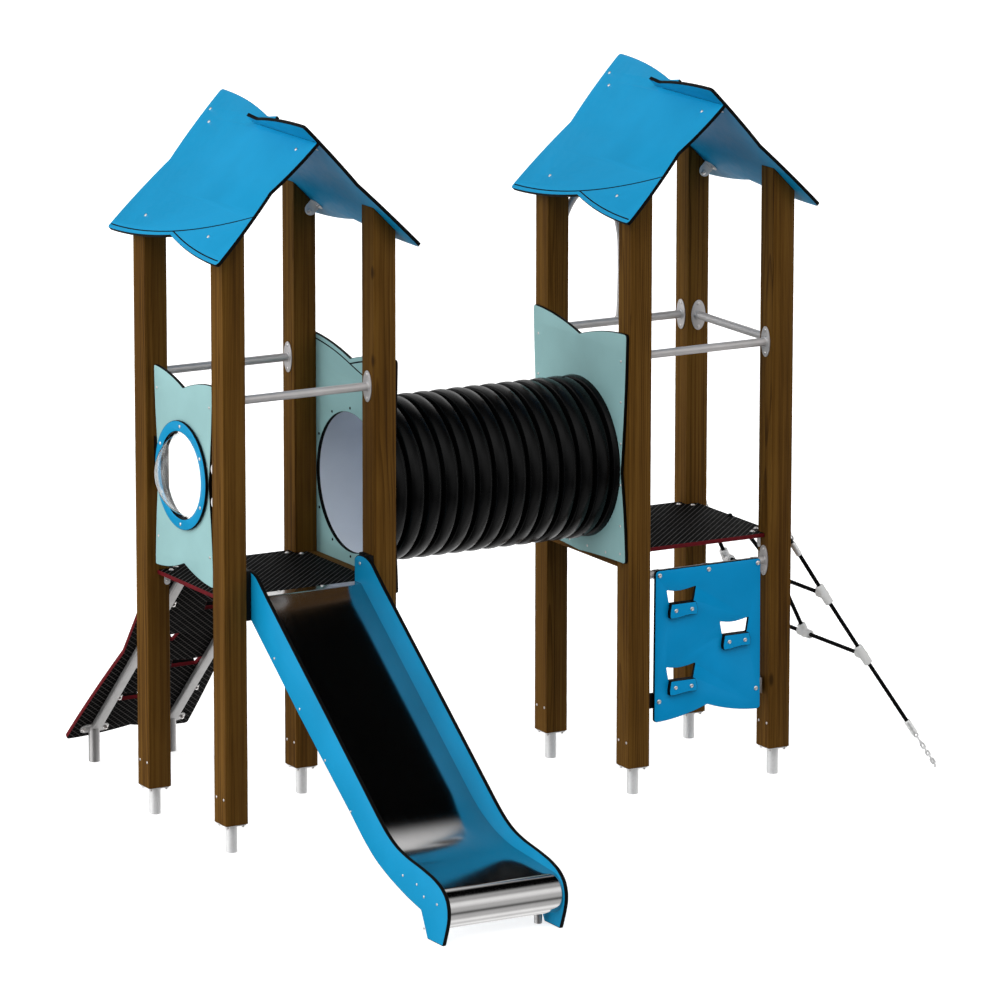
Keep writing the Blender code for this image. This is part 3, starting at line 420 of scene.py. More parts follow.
def piece(name, geo, mats, nodes=(), sharp=35, smooth=True, normals=True):
    """Makes the mesh object, moves it from the layout to the frame and rides it on the body."""
    v = np.concatenate(geo.v) + OFF
    t = np.concatenate(geo.t)
    mesh = bpy.data.meshes.new(name)
    mesh.from_pydata(v.tolist(), [], geo.f)
    mesh.polygons.foreach_set("material_index", np.array(geo.m, np.int32))
    att = mesh.attributes.new("tex", "FLOAT_VECTOR", "POINT")
    att.data.foreach_set("vector", t.astype(np.float32).ravel())
    mesh.update()
    if normals:
        bm = bmesh.new()
        bm.from_mesh(mesh)
        bmesh.ops.recalc_face_normals(bm, faces=bm.faces)
        bm.to_mesh(mesh)
        bm.free()
    if smooth:
        mesh.shade_smooth()
        mesh.set_sharp_from_angle(angle=math.radians(sharp))
    for m in mats:
        mesh.materials.append(m)
    obj = bpy.data.objects.new(name, mesh)
    scene.collection.objects.link(obj)
    return settle(obj, nodes)


def settle(obj, nodes=()):
    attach(obj, "root")
    if nodes:
        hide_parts(*nodes)
    return obj


def revolve(profile, segs=24, ring=False, hexed=(), mats=None):
    """Turned shape about local z from (r, z) points; a closed ring section when ring is set."""
    v, rows, f, m = [], [], [], []
    for i, (r, z) in enumerate(profile):
        if r < 1e-9 and not ring:
            rows.append([len(v)])
            v.append((0.0, 0.0, z))
            continue
        row = []
        for k in range(segs):
            a = 2 * PI * k / segs
            q = r
            if i in hexed:
                q = r * math.cos(PI / 6) / math.cos(a % (PI / 3) - PI / 6)
            row.append(len(v))
            v.append((q * math.cos(a), q * math.sin(a), z))
        rows.append(row)
    pairs = list(zip(rows, rows[1:])) + ([(rows[-1], rows[0])] if ring else [])
    for i, (a, b) in enumerate(pairs):
        if len(a) == 1 and len(b) == 1:
            continue
        for k in range(segs):
            n = (k + 1) % segs
            if len(a) == 1:
                f.append((a[0], b[n], b[k]))
            elif len(b) == 1:
                f.append((a[k], a[n], b[0]))
            else:
                f.append((a[k], a[n], b[n], b[k]))
            m.append(mats[i] if mats else 0)
    return v, f, m


def sweep(path, section, closed=False, twist=0.0, up=None):
    """A section carried along a path with as little turning as possible. tex is (u, v, length)."""
    path = np.asarray(path, float)
    sec = np.asarray(section, float)
    n, k = len(path), len(sec)
    if closed:
        tan = np.roll(path, -1, 0) - np.roll(path, 1, 0)
    else:
        tan = np.gradient(path, axis=0)
    tan /= np.linalg.norm(tan, axis=1)[:, None]
    ref = np.array(up if up is not None else ((0, 0, 1) if abs(tan[0][2]) < 0.9 else (1, 0, 0)), float)
    x = np.cross(ref, tan[0])
    x /= np.linalg.norm(x)
    v, t, length = [], [], 0.0
    for i in range(n):
        if i:
            length += np.linalg.norm(path[i] - path[i - 1])
            x = x - tan[i] * (x @ tan[i])
            x /= np.linalg.norm(x)
        y = np.cross(tan[i], x)
        a = twist * length
        c, s = math.cos(a), math.sin(a)
        for u, w in sec:
            uu, ww = u * c - w * s, u * s + w * c
            v.append(path[i] + x * uu + y * ww)
            t.append((u, w, length))
    f = []
    for i in range(n if closed else n - 1):
        j = (i + 1) % n
        for q in range(k):
            p = (q + 1) % k
            f.append((i * k + q, i * k + p, j * k + p, j * k + q))
    if not closed:
        f.append(tuple(range(k)))
        f.append(tuple((n - 1) * k + q for q in range(k))[::-1])
    return v, f, 0, t


def disc(r, n=16):
    return [(r * math.cos(2 * PI * k / n), r * math.sin(2 * PI * k / n)) for k in range(n)]


def area2(loop):
    p = np.asarray(loop)
    q = np.roll(p, -1, 0)
    return float((p[:, 0] * q[:, 1] - q[:, 0] * p[:, 1]).sum())


def inset(loop, d):
    """Moves each corner by d to its left side."""
    p = np.asarray(loop, float)
    a, b = np.roll(p, 1, 0), np.roll(p, -1, 0)
    e1, e2 = p - a, b - p
    e1 /= np.maximum(np.linalg.norm(e1, axis=1), 1e-12)[:, None]
    e2 /= np.maximum(np.linalg.norm(e2, axis=1), 1e-12)[:, None]
    n1, n2 = np.stack([-e1[:, 1], e1[:, 0]], 1), np.stack([-e2[:, 1], e2[:, 0]], 1)
    k = 1.0 / np.maximum(1.0 + (n1 * n2).sum(1), 0.35)
    return p + (n1 + n2) * (k * d)[:, None]


def clean(loop, eps=1e-5):
    out = []
    for p in loop:
        if not out or math.dist(p, out[-1]) > eps:
            out.append(tuple(p))
    if len(out) > 1 and math.dist(out[0], out[-1]) <= eps:
        out.pop()
    return out


def plate(outer, holes=(), thickness=0.013, edge=0.0010, face_mat=0, edge_mat=1, steps=2, back_mat=None):
    """Flat sheet about local z = 0 with its machined edges eased. Faces and edges have their own material."""
    loops = []
    for i, loop in enumerate([outer, *holes]):
        loop = clean(loop)
        if (area2(loop) > 0) != (i == 0):
            loop = loop[::-1]
        loops.append(np.asarray(loop, float))
    h = thickness / 2
    levels = []
    for k in range(steps + 1):
        a = PI / 2 * k / steps
        levels.append((edge * (1 - math.sin(a)), -h + edge * (1 - math.cos(a))))
    rings = levels + [(d, -z) for d, z in levels[::-1]]
    v, f, m, first = [], [], [], []
    for loop in loops:
        start = len(v)
        first.append(start)
        n = len(loop)
        for d, z in rings:
            for x, y in (inset(loop, d) if d > 1e-9 else loop):
                v.append((x, y, z))
        for i in range(len(rings) - 1):
            for k in range(n):
                p = (k + 1) % n
                f.append((start + i * n + k, start + i * n + p, start + (i + 1) * n + p, start + (i + 1) * n + k))
                m.append(edge_mat)
    for level, flip in ((0, True), (len(rings) - 1, False)):
        polys, index = [], []
        for start, loop in zip(first, loops):
            ids = [start + level * len(loop) + k for k in range(len(loop))]
            polys.append([Vector(v[i]) for i in ids])
            index += ids
        for tri in tessellate_polygon(polys):
            face = tuple(index[i] for i in tri)
            f.append(face[::-1] if flip else face)
            m.append((back_mat if back_mat is not None and flip else face_mat))
    return v, f, m


def rbox(size, radius=0.002, segments=2):
    bm = bmesh.new()
    bmesh.ops.create_cube(bm, size=1.0)
    bmesh.ops.scale(bm, vec=size, verts=bm.verts)
    bmesh.ops.bevel(bm, geom=list(bm.edges), offset=radius, segments=segments, affect="EDGES", profile=0.5)
    v = [tuple(p.co) for p in bm.verts]
    bm.verts.index_update()
    f = [tuple(p.index for p in face.verts) for face in bm.faces]
    bm.free()
    return v, f, 0


def circle(cx, cy, r, steps=96):
    return [(cx + r * math.cos(2 * PI * k / steps), cy + r * math.sin(2 * PI * k / steps)) for k in range(steps)]


def ellipse(w, h, steps=40):
    return [(w / 2 * math.cos(2 * PI * k / steps), h / 2 * math.sin(2 * PI * k / steps)) for k in range(steps)]


def stadium(w, h, steps=10):
    """Upright slot shape, w wide and h high."""
    r = w / 2
    flat = h / 2 - r
    pts = [(r * math.cos(PI * k / steps), flat + r * math.sin(PI * k / steps)) for k in range(steps + 1)]
    return pts + [(-x, -y) for x, y in pts]


def rounded(points, radius=0.0, steps=6, limit=0.49):
    """Eases the corners of a closed outline; a point may carry its own radius."""
    out, count = [], len(points)
    for i in range(count):
        p = np.array(points[i][:2], float)
        a = np.array(points[i - 1][:2], float) - p
        b = np.array(points[(i + 1) % count][:2], float) - p
        r = points[i][2] if len(points[i]) > 2 else radius
        la, lb = np.linalg.norm(a), np.linalg.norm(b)
        turn = math.acos(max(-1.0, min(1.0, float(a @ b) / (la * lb))))
        if r <= 0 or turn > math.radians(179.5):
            out.append(tuple(p))
            continue
        reach = min(r / math.tan(turn / 2), la * limit, lb * limit)
        p0, p1 = p + a / la * reach, p + b / lb * reach
        for k in range(steps + 1):
            t = k / steps
            out.append(tuple(p0 * (1 - t) ** 2 + p * 2 * t * (1 - t) + p1 * t ** 2))
    return clean(out)


def arc_between(p, q, bulge, steps=8):
    p, q = np.array(p, float), np.array(q, float)
    d = q - p
    normal = np.array((-d[1], d[0])) / np.linalg.norm(d)
    return [tuple(p + d * (k / steps) + normal * bulge * 4 * (k / steps) * (1 - k / steps)) for k in range(1, steps + 1)]


def fillet_path(points, radius, step=0.006):
    """A 3D path with its corners rounded, in even short steps."""
    pts = [np.array(p, float) for p in points]
    out = [pts[0]]
    for i in range(1, len(pts) - 1):
        a, b = pts[i - 1] - pts[i], pts[i + 1] - pts[i]
        la, lb = np.linalg.norm(a), np.linalg.norm(b)
        reach = min(radius, la * 0.49, lb * 0.49)
        p0, p1 = pts[i] + a / la * reach, pts[i] + b / lb * reach
        for k in range(9):
            t = k / 8
            out.append(p0 * (1 - t) ** 2 + pts[i] * 2 * t * (1 - t) + p1 * t ** 2)
    out.append(pts[-1])
    out = np.array(out)
    length = np.concatenate([[0], np.cumsum(np.linalg.norm(np.diff(out, axis=0), axis=1))])
    n = max(2, int(length[-1] / step) + 1)
    at = np.linspace(0, length[-1], n)
    return np.stack([np.interp(at, length, out[:, i]) for i in range(3)], 1)


def slot_ring(path, width):
    """Outline of a routed line of the given width along a 2D path, with round ends."""
    p = np.asarray(path, float)
    t = np.gradient(p, axis=0)
    t /= np.linalg.norm(t, axis=1)[:, None]
    n = np.stack([-t[:, 1], t[:, 0]], 1) * width / 2
    left, right = p + n, (p - n)[::-1]

    def cap(end, d, side):
        return [tuple(end + side * math.cos(PI * k / 6) + d * width / 2 * math.sin(PI * k / 6)) for k in range(1, 6)]

    out = list(map(tuple, left)) + cap(p[-1], t[-1], n[-1]) + list(map(tuple, right)) + cap(p[0], -t[0], -n[0])
    return clean(out)


def tube_along(points, radius, n=20, step=0.02, bend=0.03):
    return sweep(fillet_path(points, bend, step), disc(radius, n))


def merged(*geos):
    g = Geo()
    for other in geos:
        base = g.n
        g.v += other.v
        g.t += other.t
        g.f += [tuple(i + base for i in face) for face in other.f]
        g.m += other.m
        g.n += other.n
    return g


def cut(obj, cutters):
    """Routes the cutters out of the piece and keeps the result as its mesh."""
    for c in cutters:
        mod = obj.modifiers.new("route", "BOOLEAN")
        mod.operation, mod.solver, mod.object = "DIFFERENCE", "EXACT", c
    bpy.context.view_layer.update()
    dg = bpy.context.evaluated_depsgraph_get()
    mesh = bpy.data.meshes.new_from_object(obj.evaluated_get(dg), preserve_all_data_layers=True, depsgraph=dg)
    mesh.name = obj.name
    obj.modifiers.clear()
    old = obj.data
    obj.data = mesh
    bpy.data.meshes.remove(old)
    for c in cutters:
        data = c.data
        bpy.data.objects.remove(c)
        bpy.data.meshes.remove(data)
    obj.data.shade_smooth()
    obj.data.set_sharp_from_angle(angle=math.radians(35))
    return obj


def cutter(name, geo, mats):
    v = np.concatenate(geo.v) + OFF
    mesh = bpy.data.meshes.new(name)
    mesh.from_pydata(v.tolist(), [], geo.f)
    att = mesh.attributes.new("tex", "FLOAT_VECTOR", "POINT")
    att.data.foreach_set("vector", np.concatenate(geo.t).astype(np.float32).ravel())
    bm = bmesh.new()
    bm.from_mesh(mesh)
    bmesh.ops.recalc_face_normals(bm, faces=bm.faces)
    bm.to_mesh(mesh)
    bm.free()
    for m in mats:
        mesh.materials.append(m)
    mesh.polygons.foreach_set("material_index", np.full(len(mesh.polygons), 1, np.int32))
    obj = bpy.data.objects.new(name, mesh)
    scene.collection.objects.link(obj)
    obj.hide_render = True
    return obj


# ------------------------------------------------------------------ fasteners
def dome_bolt(r=0.0085, h=0.0048, washer=0.0, hexr=0.0034):
    """Button head with a hexagon recess, on a washer when one is given."""
    pts, z = [(0.0, -0.0004)], 0.0
    if washer:
        pts += [(washer - 0.0003, -0.0004), (washer, 0.0003), (washer, 0.0012), (washer - 0.0006, 0.0017)]
        z = 0.0016
        pts.append((r + 0.0004, 0.0019))
        pts.append((r, 0.0022))
    else:
        pts += [(r, -0.0004), (r, 0.0006)]
    for k in range(1, 5):
        a = PI / 2 * k / 5
        pts.append((hexr + 0.0006 + (r - hexr - 0.0006) * math.cos(a), z + 0.0006 + (h - 0.0006) * math.sin(a)))
    pts.append((hexr + 0.0004, z + h))
    first = len(pts)
    pts += [(hexr, z + h - 0.0004), (hexr * 0.96, z + h - 0.0024), (0.0, z + h - 0.0030)]
    return revolve(pts, 24, hexed=(first, first + 1))


def hex_nut(af=0.013, h=0.008, washer=0.0105):
    pts = [(0.0, -0.0004), (washer, -0.0004), (washer, 0.0014), (af * 0.577 * 0.93, 0.0016)]
    k = len(pts)
    pts += [(af * 0.577, 0.0026), (af * 0.577, h - 0.0012), (af * 0.52, h), (0.0052, h), (0.0046, h + 0.0020), (0.0, h + 0.0024)]
    return revolve(pts, 24, hexed=(k, k + 1))


def dish_screw(r=0.0055, h=0.0022):
    """Small raised screw head with a cross recess hinted by a shallow hexagon."""
    pts = [(0.0, -0.0004), (r, -0.0004), (r * 0.98, 0.0004)]
    for k in range(1, 4):
        a = PI / 2 * k / 4
        pts.append((r * 0.42 + r * 0.56 * math.cos(a), 0.0004 + h * math.sin(a)))
    first = len(pts)
    pts += [(r * 0.40, h + 0.0001), (r * 0.34, h - 0.0012), (0.0, h - 0.0016)]
    return revolve(pts, 18, hexed=(first, first + 1))


BOLT_BIG = dome_bolt(0.0088, 0.0050, 0.0)
BOLT_WASHER = dome_bolt(0.0078, 0.0046, 0.0105)
SCREW = dish_screw()
SCREW_BIG = dish_screw(0.0068, 0.0028)
NUT = hex_nut()


def fasten(geo, shell, at, normal, spin=0.0, mat=0):
    geo.add(shell, facing(at, normal, spin), mat=mat)


# ------------------------------------------------------------------ posts
POSTS = {
    "a_near_outer": (0.0, 0.0, 0.0), "a_far_outer": (0.0, PITCH, 0.0),
    "a_near_inner": (PITCH, 0.0, 0.0), "a_far_inner": (PITCH, PITCH, 0.0),
    "b_near_inner": (DB, 0.0, DB), "b_far_inner": (DB, PITCH, DB),
    "b_near_outer": (DB + PITCH, 0.0, DB), "b_far_outer": (DB + PITCH, PITCH, DB),
}
PITH = [(0.071, 0.018), (-0.055, 0.062), (0.028, -0.079), (0.086, 0.041), (-0.070, -0.022), (0.036, 0.083),
        (-0.088, 0.012), (0.060, -0.064)]

for i, (key, (px, py, tx)) in enumerate(POSTS.items()):
    bm = bmesh.new()
    bmesh.ops.create_cube(bm, size=1.0)
    bmesh.ops.scale(bm, vec=(POST, POST, 1.0), verts=bm.verts)
    for vert in bm.verts:
        if vert.co.z > 0:
            vert.co.z = RIDGE_Z - (SLAB_T + GAP) * math.sqrt(2) - abs(px + vert.co.x - tx - CX)
        else:
            vert.co.z = FOOT
    bmesh.ops.bevel(bm, geom=list(bm.edges), offset=0.0042, segments=3, affect="EDGES", profile=0.5)
    # rings up the post, so that its arrises can waver by a fraction of a millimetre
    for level in np.arange(FOOT + 0.02, 2.20, 0.028):
        bmesh.ops.bisect_plane(bm, geom=list(bm.verts) + list(bm.edges) + list(bm.faces), dist=1e-6,
                               plane_co=(0, 0, level), plane_no=(0, 0, 1))
    bm.verts.index_update()
    v = np.array([p.co for p in bm.verts])
    f = [tuple(p.index for p in face.verts) for face in bm.faces]
    bm.free()
    wave = 0.00022 * (np.sin(v[:, 2] * 37.0 + i * 1.7) + np.sin(v[:, 2] * 91.0 + v[:, 0] * 60 + i) * 0.6)
    on_arris = (np.minimum(abs(v[:, 0]), abs(v[:, 1])) > POST / 2 - 0.0041) & (v[:, 2] > FOOT + 0.01) & (v[:, 2] < 2.25)
    shrink = np.where(on_arris, 1.0 - (abs(wave) / POST * 2), 1.0)
    v[:, :2] *= shrink[:, None]
    tex = v + np.array((PITH[i][0], PITH[i][1], 3.1 * i))
    g = Geo().add((v, f, 0), F((px, py, 0), (1, 0, 0), (0, 1, 0), (0, 0, 1)), tex=tex)
    piece("post_%s_timber" % key, g, [TIMBER], ["post_" + key], sharp=50)

# ------------------------------------------------------------------ ground anchors
SQUARE = rounded([(-0.043, -0.043), (0.043, -0.043), (0.043, 0.043), (-0.043, 0.043)], 0.006, 5)
for i, (key, (px, py, tx)) in enumerate(POSTS.items()):
    g = Geo()
    here = F((px, py, 0), (1, 0, 0), (0, 1, 0), (0, 0, 1))
    g.add(plate(SQUARE, (), 0.004, 0.0008, 0, 0), F((px, py, FOOT - GAP - 0.002), (1, 0, 0), (0, 1, 0), (0, 0, 1)))
    ro, ri = ANCHOR_D / 2, ANCHOR_D / 2 - 0.0032
    g.add(revolve([(ro - 0.0006, 0.0), (ro, 0.0006), (ro, 0.1064), (ri, 0.1064), (ri, 0.0006), (ri + 0.0006, 0.0)], 40,
                  ring=True), here)
    # weld bead under the plate
    bead = [(ro - 0.001, 0.1066), (ro + 0.0044, 0.1066), (ro + 0.0034, 0.1046), (ro + 0.0014, 0.1030), (ro - 0.001, 0.1018)]
    g.add(revolve(bead, 40, ring=True), here)
    piece("anchor_%s_steel" % key, g, [ZINC], ["anchor_" + key], sharp=40)

feet = Geo()
for key, (px, py, tx) in POSTS.items():
    for sx in (-1, 1):
        for sy in (-1, 1):
            fasten(feet, hex_nut(0.010, 0.0062, 0.0085), (px + sx * 0.0325, py + sy * 0.0325, FOOT - GAP - 0.0040), (0, 0, -1), 0.3)
    for dy in (0.0267, -0.0318):
        fasten(feet, SCREW, (px - POST / 2, py + dy, 0.2125), (-1, 0, 0), 0.4)
        fasten(feet, SCREW, (px + POST / 2, py - dy, 0.2125), (1, 0, 0), 0.4)
piece("anchor_bolts", feet, [BOLT], (), sharp=40)

# ------------------------------------------------------------------ decks
for key, tx in (("a", 0.0), ("b", DB)):
    lo, hi = -DECK_OVER, PITCH + DECK_OVER
    c = POST / 2 + 2 * GAP
    e = PITCH - c
    pts = [(c, lo), (e, lo), (e, c), (hi, c), (hi, e), (e, e), (e, hi), (c, hi), (c, e), (lo, e), (lo, c), (c, c)]
    pts = rounded([(*p, 0.0025) for p in pts], 0.0, 4)
    g = Geo().add(plate(pts, (), DECK_T, 0.0013, 0, 1),
                  F((tx, 0, DECK_TOP - DECK_T / 2), (1, 0, 0), (0, 1, 0), (0, 0, 1)))
    piece("deck_%s_board" % key, g, [DECK_FILM, EDGE], ["deck_" + key])

for key, bx in (("a", PITCH + DECK_OVER + GAP), ("b", DB - DECK_OVER - GAP)):
    side = 1 if key == "a" else -1
    face = POST / 2 - DECK_OVER - 2 * GAP
    v, f, m = rbox((face, PITCH - POST - 2 * GAP, 0.070), 0.0026, 3)
    v = np.array(v)
    g = Geo().add((v, f, 0), F((bx + side * face / 2, CX, DECK_TOP - 0.002 - 0.035), (1, 0, 0), (0, 1, 0), (0, 0, 1)),
                  tex=np.stack([v[:, 0] + 0.05, v[:, 2] + 0.03, v[:, 1] + (7.7 if key == "a" else 9.1)], 1))
    piece("threshold_%s_timber" % key, g, [TIMBER], ["threshold_batten_" + key], sharp=50)

# angle brackets under the decks, and the dome bolts through the boards
bolts = Geo()
brackets = Geo()


def angle_bracket(geo, at, out, fold, width, leg_a, leg_b, t=0.003, round_a=True, round_b=True, holes=True):
    """Folded strip: leg_a lies against the wall and runs along -out x fold, leg_b runs along out. fold is the bend's
    direction, out the wall's normal."""
    out, fold = np.array(out, float), np.array(fold, float)
    down = np.cross(fold, out)

    def strip(length, rounded_end):
        w = width / 2
        if rounded_end:
            r = w
            pts = [(-w, 0.0), (w, 0.0)] + [(r * math.cos(PI * k / 12), length - r + r * math.sin(PI * k / 12)) for k in range(13)]
        else:
            pts = [(-w, 0.0), (w, 0.0), (w, length), (-w, length)]
            pts = rounded([(-w, 0.0, 0.0), (w, 0.0, 0.0), (w, length, 0.004), (-w, length, 0.004)], 0.0, 4)
        return clean(pts)

    at = np.array(at, float)
    # wall leg: x along fold, y along down, z along out
    geo.add(plate(strip(leg_a, round_a), (), t, 0.0006, 0, 0), F(at + out * t / 2, fold, down, np.cross(fold, down)))
    geo.add(plate(strip(leg_b, round_b), (), t, 0.0006, 0, 0), F(at + down * t / 2, fold, out, np.cross(fold, out)))
    # rounded heel
    geo.add(sweep([at + down * t * 0.5 + out * t * 0.5 - fold * width / 2, at + down * t * 0.5 + out * t * 0.5 + fold * width / 2],
                  disc(t * 0.5, 12)))
    return at, out, down


for tx in (0.0, DB):
    for cx_, sx in ((0.0, 1), (PITCH, -1)):
        for cy_, sy in ((0.0, 1), (PITCH, -1)):
            for a, b, face in ((0.0775, 0.040, "x"), (0.037, 0.0795, "y")):
                if tx == 0.0 and cy_ == 0.0 and face == "x":
                    continue
                x, y = tx + cx_ + sx * a, cy_ + sy * b
                fasten(bolts, BOLT_WASHER, (x, y, DECK_TOP), (0, 0, 1), 0.7)
                fasten(brackets, hex_nut(0.010, 0.006, 0.0), (x, y, DECK_TOP - DECK_T - 0.0033), (0, 0, -1), 0.2, mat=1)
                if face == "x":
                    at = (tx + cx_ + sx * (POST / 2 + GAP), cy_ + sy * 0.0360, DECK_TOP - DECK_T - 0.0002)
                    out, fold = (sx, 0, 0), (0, sx, 0)
                else:
                    at = (tx + cx_ + sx * 0.0360, cy_ + sy * (POST / 2 + GAP), DECK_TOP - DECK_T - 0.0002)
                    out, fold = (0, sy, 0), (-sy, 0, 0)
                angle_bracket(brackets, at, out, fold, 0.0235, 0.046, 0.044)
                wall = np.array(at) + np.array(out, float) * 0.003 + np.array((0, 0, -0.031))
                fasten(brackets, SCREW_BIG, wall, out, 0.5, mat=1)
piece("deck_bolts", bolts, [BOLT], (), sharp=40)
piece("deck_brackets", brackets, [ZINC, BOLT], (), sharp=40)


# ------------------------------------------------------------------ roofs
def lobe(u):
    return 0.2464 * abs(u) - 0.2785 * u * u


def slab_outline():
    slot = SLAB_T + GAP
    pts = [(-SLAB_HALF, -slot, 0.004), (0.0, -slot, 0.0), (0.0, GAP, 0.0), (-0.058, GAP, 0.0)]
    for k in range(31):
        u = -0.058 + (SLAB_HALF + 0.058) * k / 30
        pts.append((u, PEAK_T + lobe(u), 0.018 if k == 30 else 0.0))
    peak, kink = (SLAB_HALF, PEAK_T + lobe(SLAB_HALF)), (SLAB_WAIST, -SLAB_KINK)
    eave = (SLAB_HALF, -EAVE_T - lobe(SLAB_HALF))
    pts += [(*p, 0.0) for p in arc_between(peak, kink, 0.009)]
    low = arc_between(kink, eave, 0.009)
    pts += [(*p, 0.0) for p in low[:-1]] + [(*eave, 0.018)]
    for k in range(1, 49):
        u = SLAB_HALF - 2 * SLAB_HALF * k / 48
        pts.append((u, -EAVE_T - lobe(u), 0.018 if k == 48 else 0.0))
    near_kink, near_eave = (-SLAB_WAIST, -SLAB_KINK), (-SLAB_HALF, -EAVE_T - lobe(SLAB_HALF))
    pts += [(*p, 0.0) for p in arc_between(near_eave, near_kink, 0.009)]
    pts += [(*p, 0.0) for p in arc_between(near_kink, (-SLAB_HALF, -slot), 0.009)[:-1]]
    # corner points carry the radius, and the neighbours on the curves stand clear of it
    out = []
    for i, p in enumerate(pts):
        q, r = pts[i - 1], pts[(i + 1) % len(pts)]
        if p[2] == 0.0 and any(c[2] > 0.01 and math.dist(p[:2], c[:2]) < 0.020 for c in (q, r, pts[i - 2], pts[(i + 2) % len(pts)])):
            continue
        out.append(p)
    return rounded(out, 0.0, 7)


def parabola_line(u0, u1, signed, n=40):
    """Routed line 18 mm inside the eave. It keeps one lobe's curve past the middle when signed is set."""
    us = np.linspace(u0, u1, n)
    rise = 0.2464 * us - 0.2785 * us * us if signed else 0.2464 * abs(us) - 0.2785 * us * us
    return [(u, -(EAVE_T - 0.0185 + r)) for u, r in zip(us, rise)]


roof_screws = Geo()
ridge_brackets = Geo()
SLAB_LOOP = slab_outline()
for tower, tx in (("a", 0.0), ("b", DB)):
    for side, turn in (("outer", 0), ("inner", 1)):
        name = side if tower == "a" else ("inner" if side == "outer" else "outer")
        sgn = -1.0 if turn else 1.0
        ax, ay, az = np.array((0, sgn, 0)), np.array((sgn * S, 0, S)), np.array((sgn * S, 0, -S))
        origin = np.array((tx + CX, CX, RIDGE_Z)) + az * (SLAB_T / 2)
        fr = F(origin, ax, ay, az)
        mats = [BLUE, CORE]
        obj = piece("roof_slab_%s_%s_panel" % (tower, name), Geo().add(plate(SLAB_LOOP, (), SLAB_T, 0.0011, 0, 1), fr), mats,
                    ["roof_slab_%s_%s" % (tower, name)])
        depth = 0.0012
        cuts = []
        for j, line in enumerate((parabola_line(0.436, -0.470, True), parabola_line(0.004, -0.432, False))):
            ring = slot_ring(line, 0.0052)
            flat = plate(ring, (), depth * 2, 0.0001, 0, 0, 1)
            cuts.append(cutter("route_%d" % j, Geo().add(flat, F(origin - az * (SLAB_T / 2), ax, ay, az)), mats))
        cut(obj, cuts)
        outer_face = origin - az * (SLAB_T / 2)
        for u, t in ((0.41, 0.012), (0.35, 0.065), (-0.35, 0.065), (0.26, 0.51), (-0.25, 0.51)):
            fasten(roof_screws, SCREW_BIG, outer_face + ax * u - ay * t, -az, 0.3)
    # angle brackets: the wall leg hangs on the post's face towards the middle, the other lies under the slab
    for cx_, sx in ((0.0, 1), (PITCH, -1)):
        slope = np.array((sx * S, 0, S))          # up the slope, towards the ridge
        inward = np.array((sx * S, 0, -S))        # away from the slab, into the roof
        for cy_, sy in ((0.0, 1), (PITCH, -1)):
            # point on the slab's underside above the middle of the post's face
            top = np.array((tx + cx_, cy_ + sy * (POST / 2 + GAP), RIDGE_Z - SLAB_T * math.sqrt(2) - abs(cx_ - CX)))
            at = top - slope * 0.063 + inward * 0.0003
            fold = -slope * sy * sx
            out = np.array((0, sy, 0), float)
            if np.cross(fold, out) @ inward < 0:
                fold = -fold
            angle_bracket(ridge_brackets, at, out, fold, 0.050, 0.052, 0.046)
            fasten(ridge_brackets, BOLT_WASHER, at + out * 0.003 + inward * 0.036, out, 0.4, mat=1)
            fasten(ridge_brackets, BOLT_WASHER, at + inward * 0.003 + out * 0.030, inward, 0.4, mat=1)
    # small folded angles in the corner under the ridge at both gables
    for u in (-0.372, 0.372):
        peak = np.array((tx + CX, CX + u, RIDGE_Z - SLAB_T * math.sqrt(2) - 0.0006))
        for sx in (-1, 1):
            down = np.array((sx * S, 0, -S))
            nrm = np.array((-sx * S, 0, -S))
            leg = rounded([(-0.016, 0.0, 0.0), (0.016, 0.0, 0.0), (0.016, 0.042, 0.006), (-0.016, 0.042, 0.006)], 0.0, 4)
            ridge_brackets.add(plate(leg, (), 0.003, 0.0006, 0, 0), F(peak + nrm * 0.0018, (0, 1, 0), down, np.cross((0, 1, 0), down)))
            fasten(ridge_brackets, SCREW_BIG, peak + nrm * 0.0033 + down * 0.030, nrm, 0.3, mat=1)
piece("roof_screws", roof_screws, [BOLT], (), sharp=40)
piece("roof_brackets", ridge_brackets, [ZINC, BOLT], (), sharp=40)


# ------------------------------------------------------------------ window panel
def waisted_outline(half, waist, top, bottom, notch, mid, notch_low=None, radius=0.014, bow=0.006):
    notch_low = notch if notch_low is None else notch_low
    pts, n = [], 40

    def top_z(u):
        t = abs(u) / half
        return top - notch + notch * (1.9 * t - 0.9 * t * t)

    def low_z(u):
        t = abs(u) / half
        return bottom + notch_low - notch_low * (1.9 * t - 0.9 * t * t)

    for k in range(n + 1):
        u = half - 2 * half * k / n
        pts.append((u, top_z(u), radius if k in (0, n) else 0.0))
    pts += [(*p, 0.0) for p in arc_between((-half, top), (-waist, mid), -bow)]
    pts += [(*p, 0.0) for p in arc_between((-waist, mid), (-half, bottom), -bow)[:-1]]
    for k in range(n + 1):
        u = -half + 2 * half * k / n
        pts.append((u, low_z(u), radius if k in (0, n) else 0.0))
    pts += [(*p, 0.0) for p in arc_between((half, bottom), (waist, mid), -bow)]
    pts += [(*p, 0.0) for p in arc_between((waist, mid), (half, top), -bow)[:-1]]
    out = []
    for i, p in enumerate(pts):
        near = [pts[(i + d) % len(pts)] for d in (-2, -1, 1, 2)]
        if p[2] == 0.0 and any(c[2] > 0 and math.dist(p[:2], c[:2]) < radius * 1.05 for c in near):
            continue
        out.append(p)
    return rounded(out, 0.0, 7)


def yz_frame(x, z):
    """local x to +Y, local y to +Z, local z to +X"""
    return F((x, CX, z), (0, 1, 0), (0, 0, 1), (1, 0, 0))


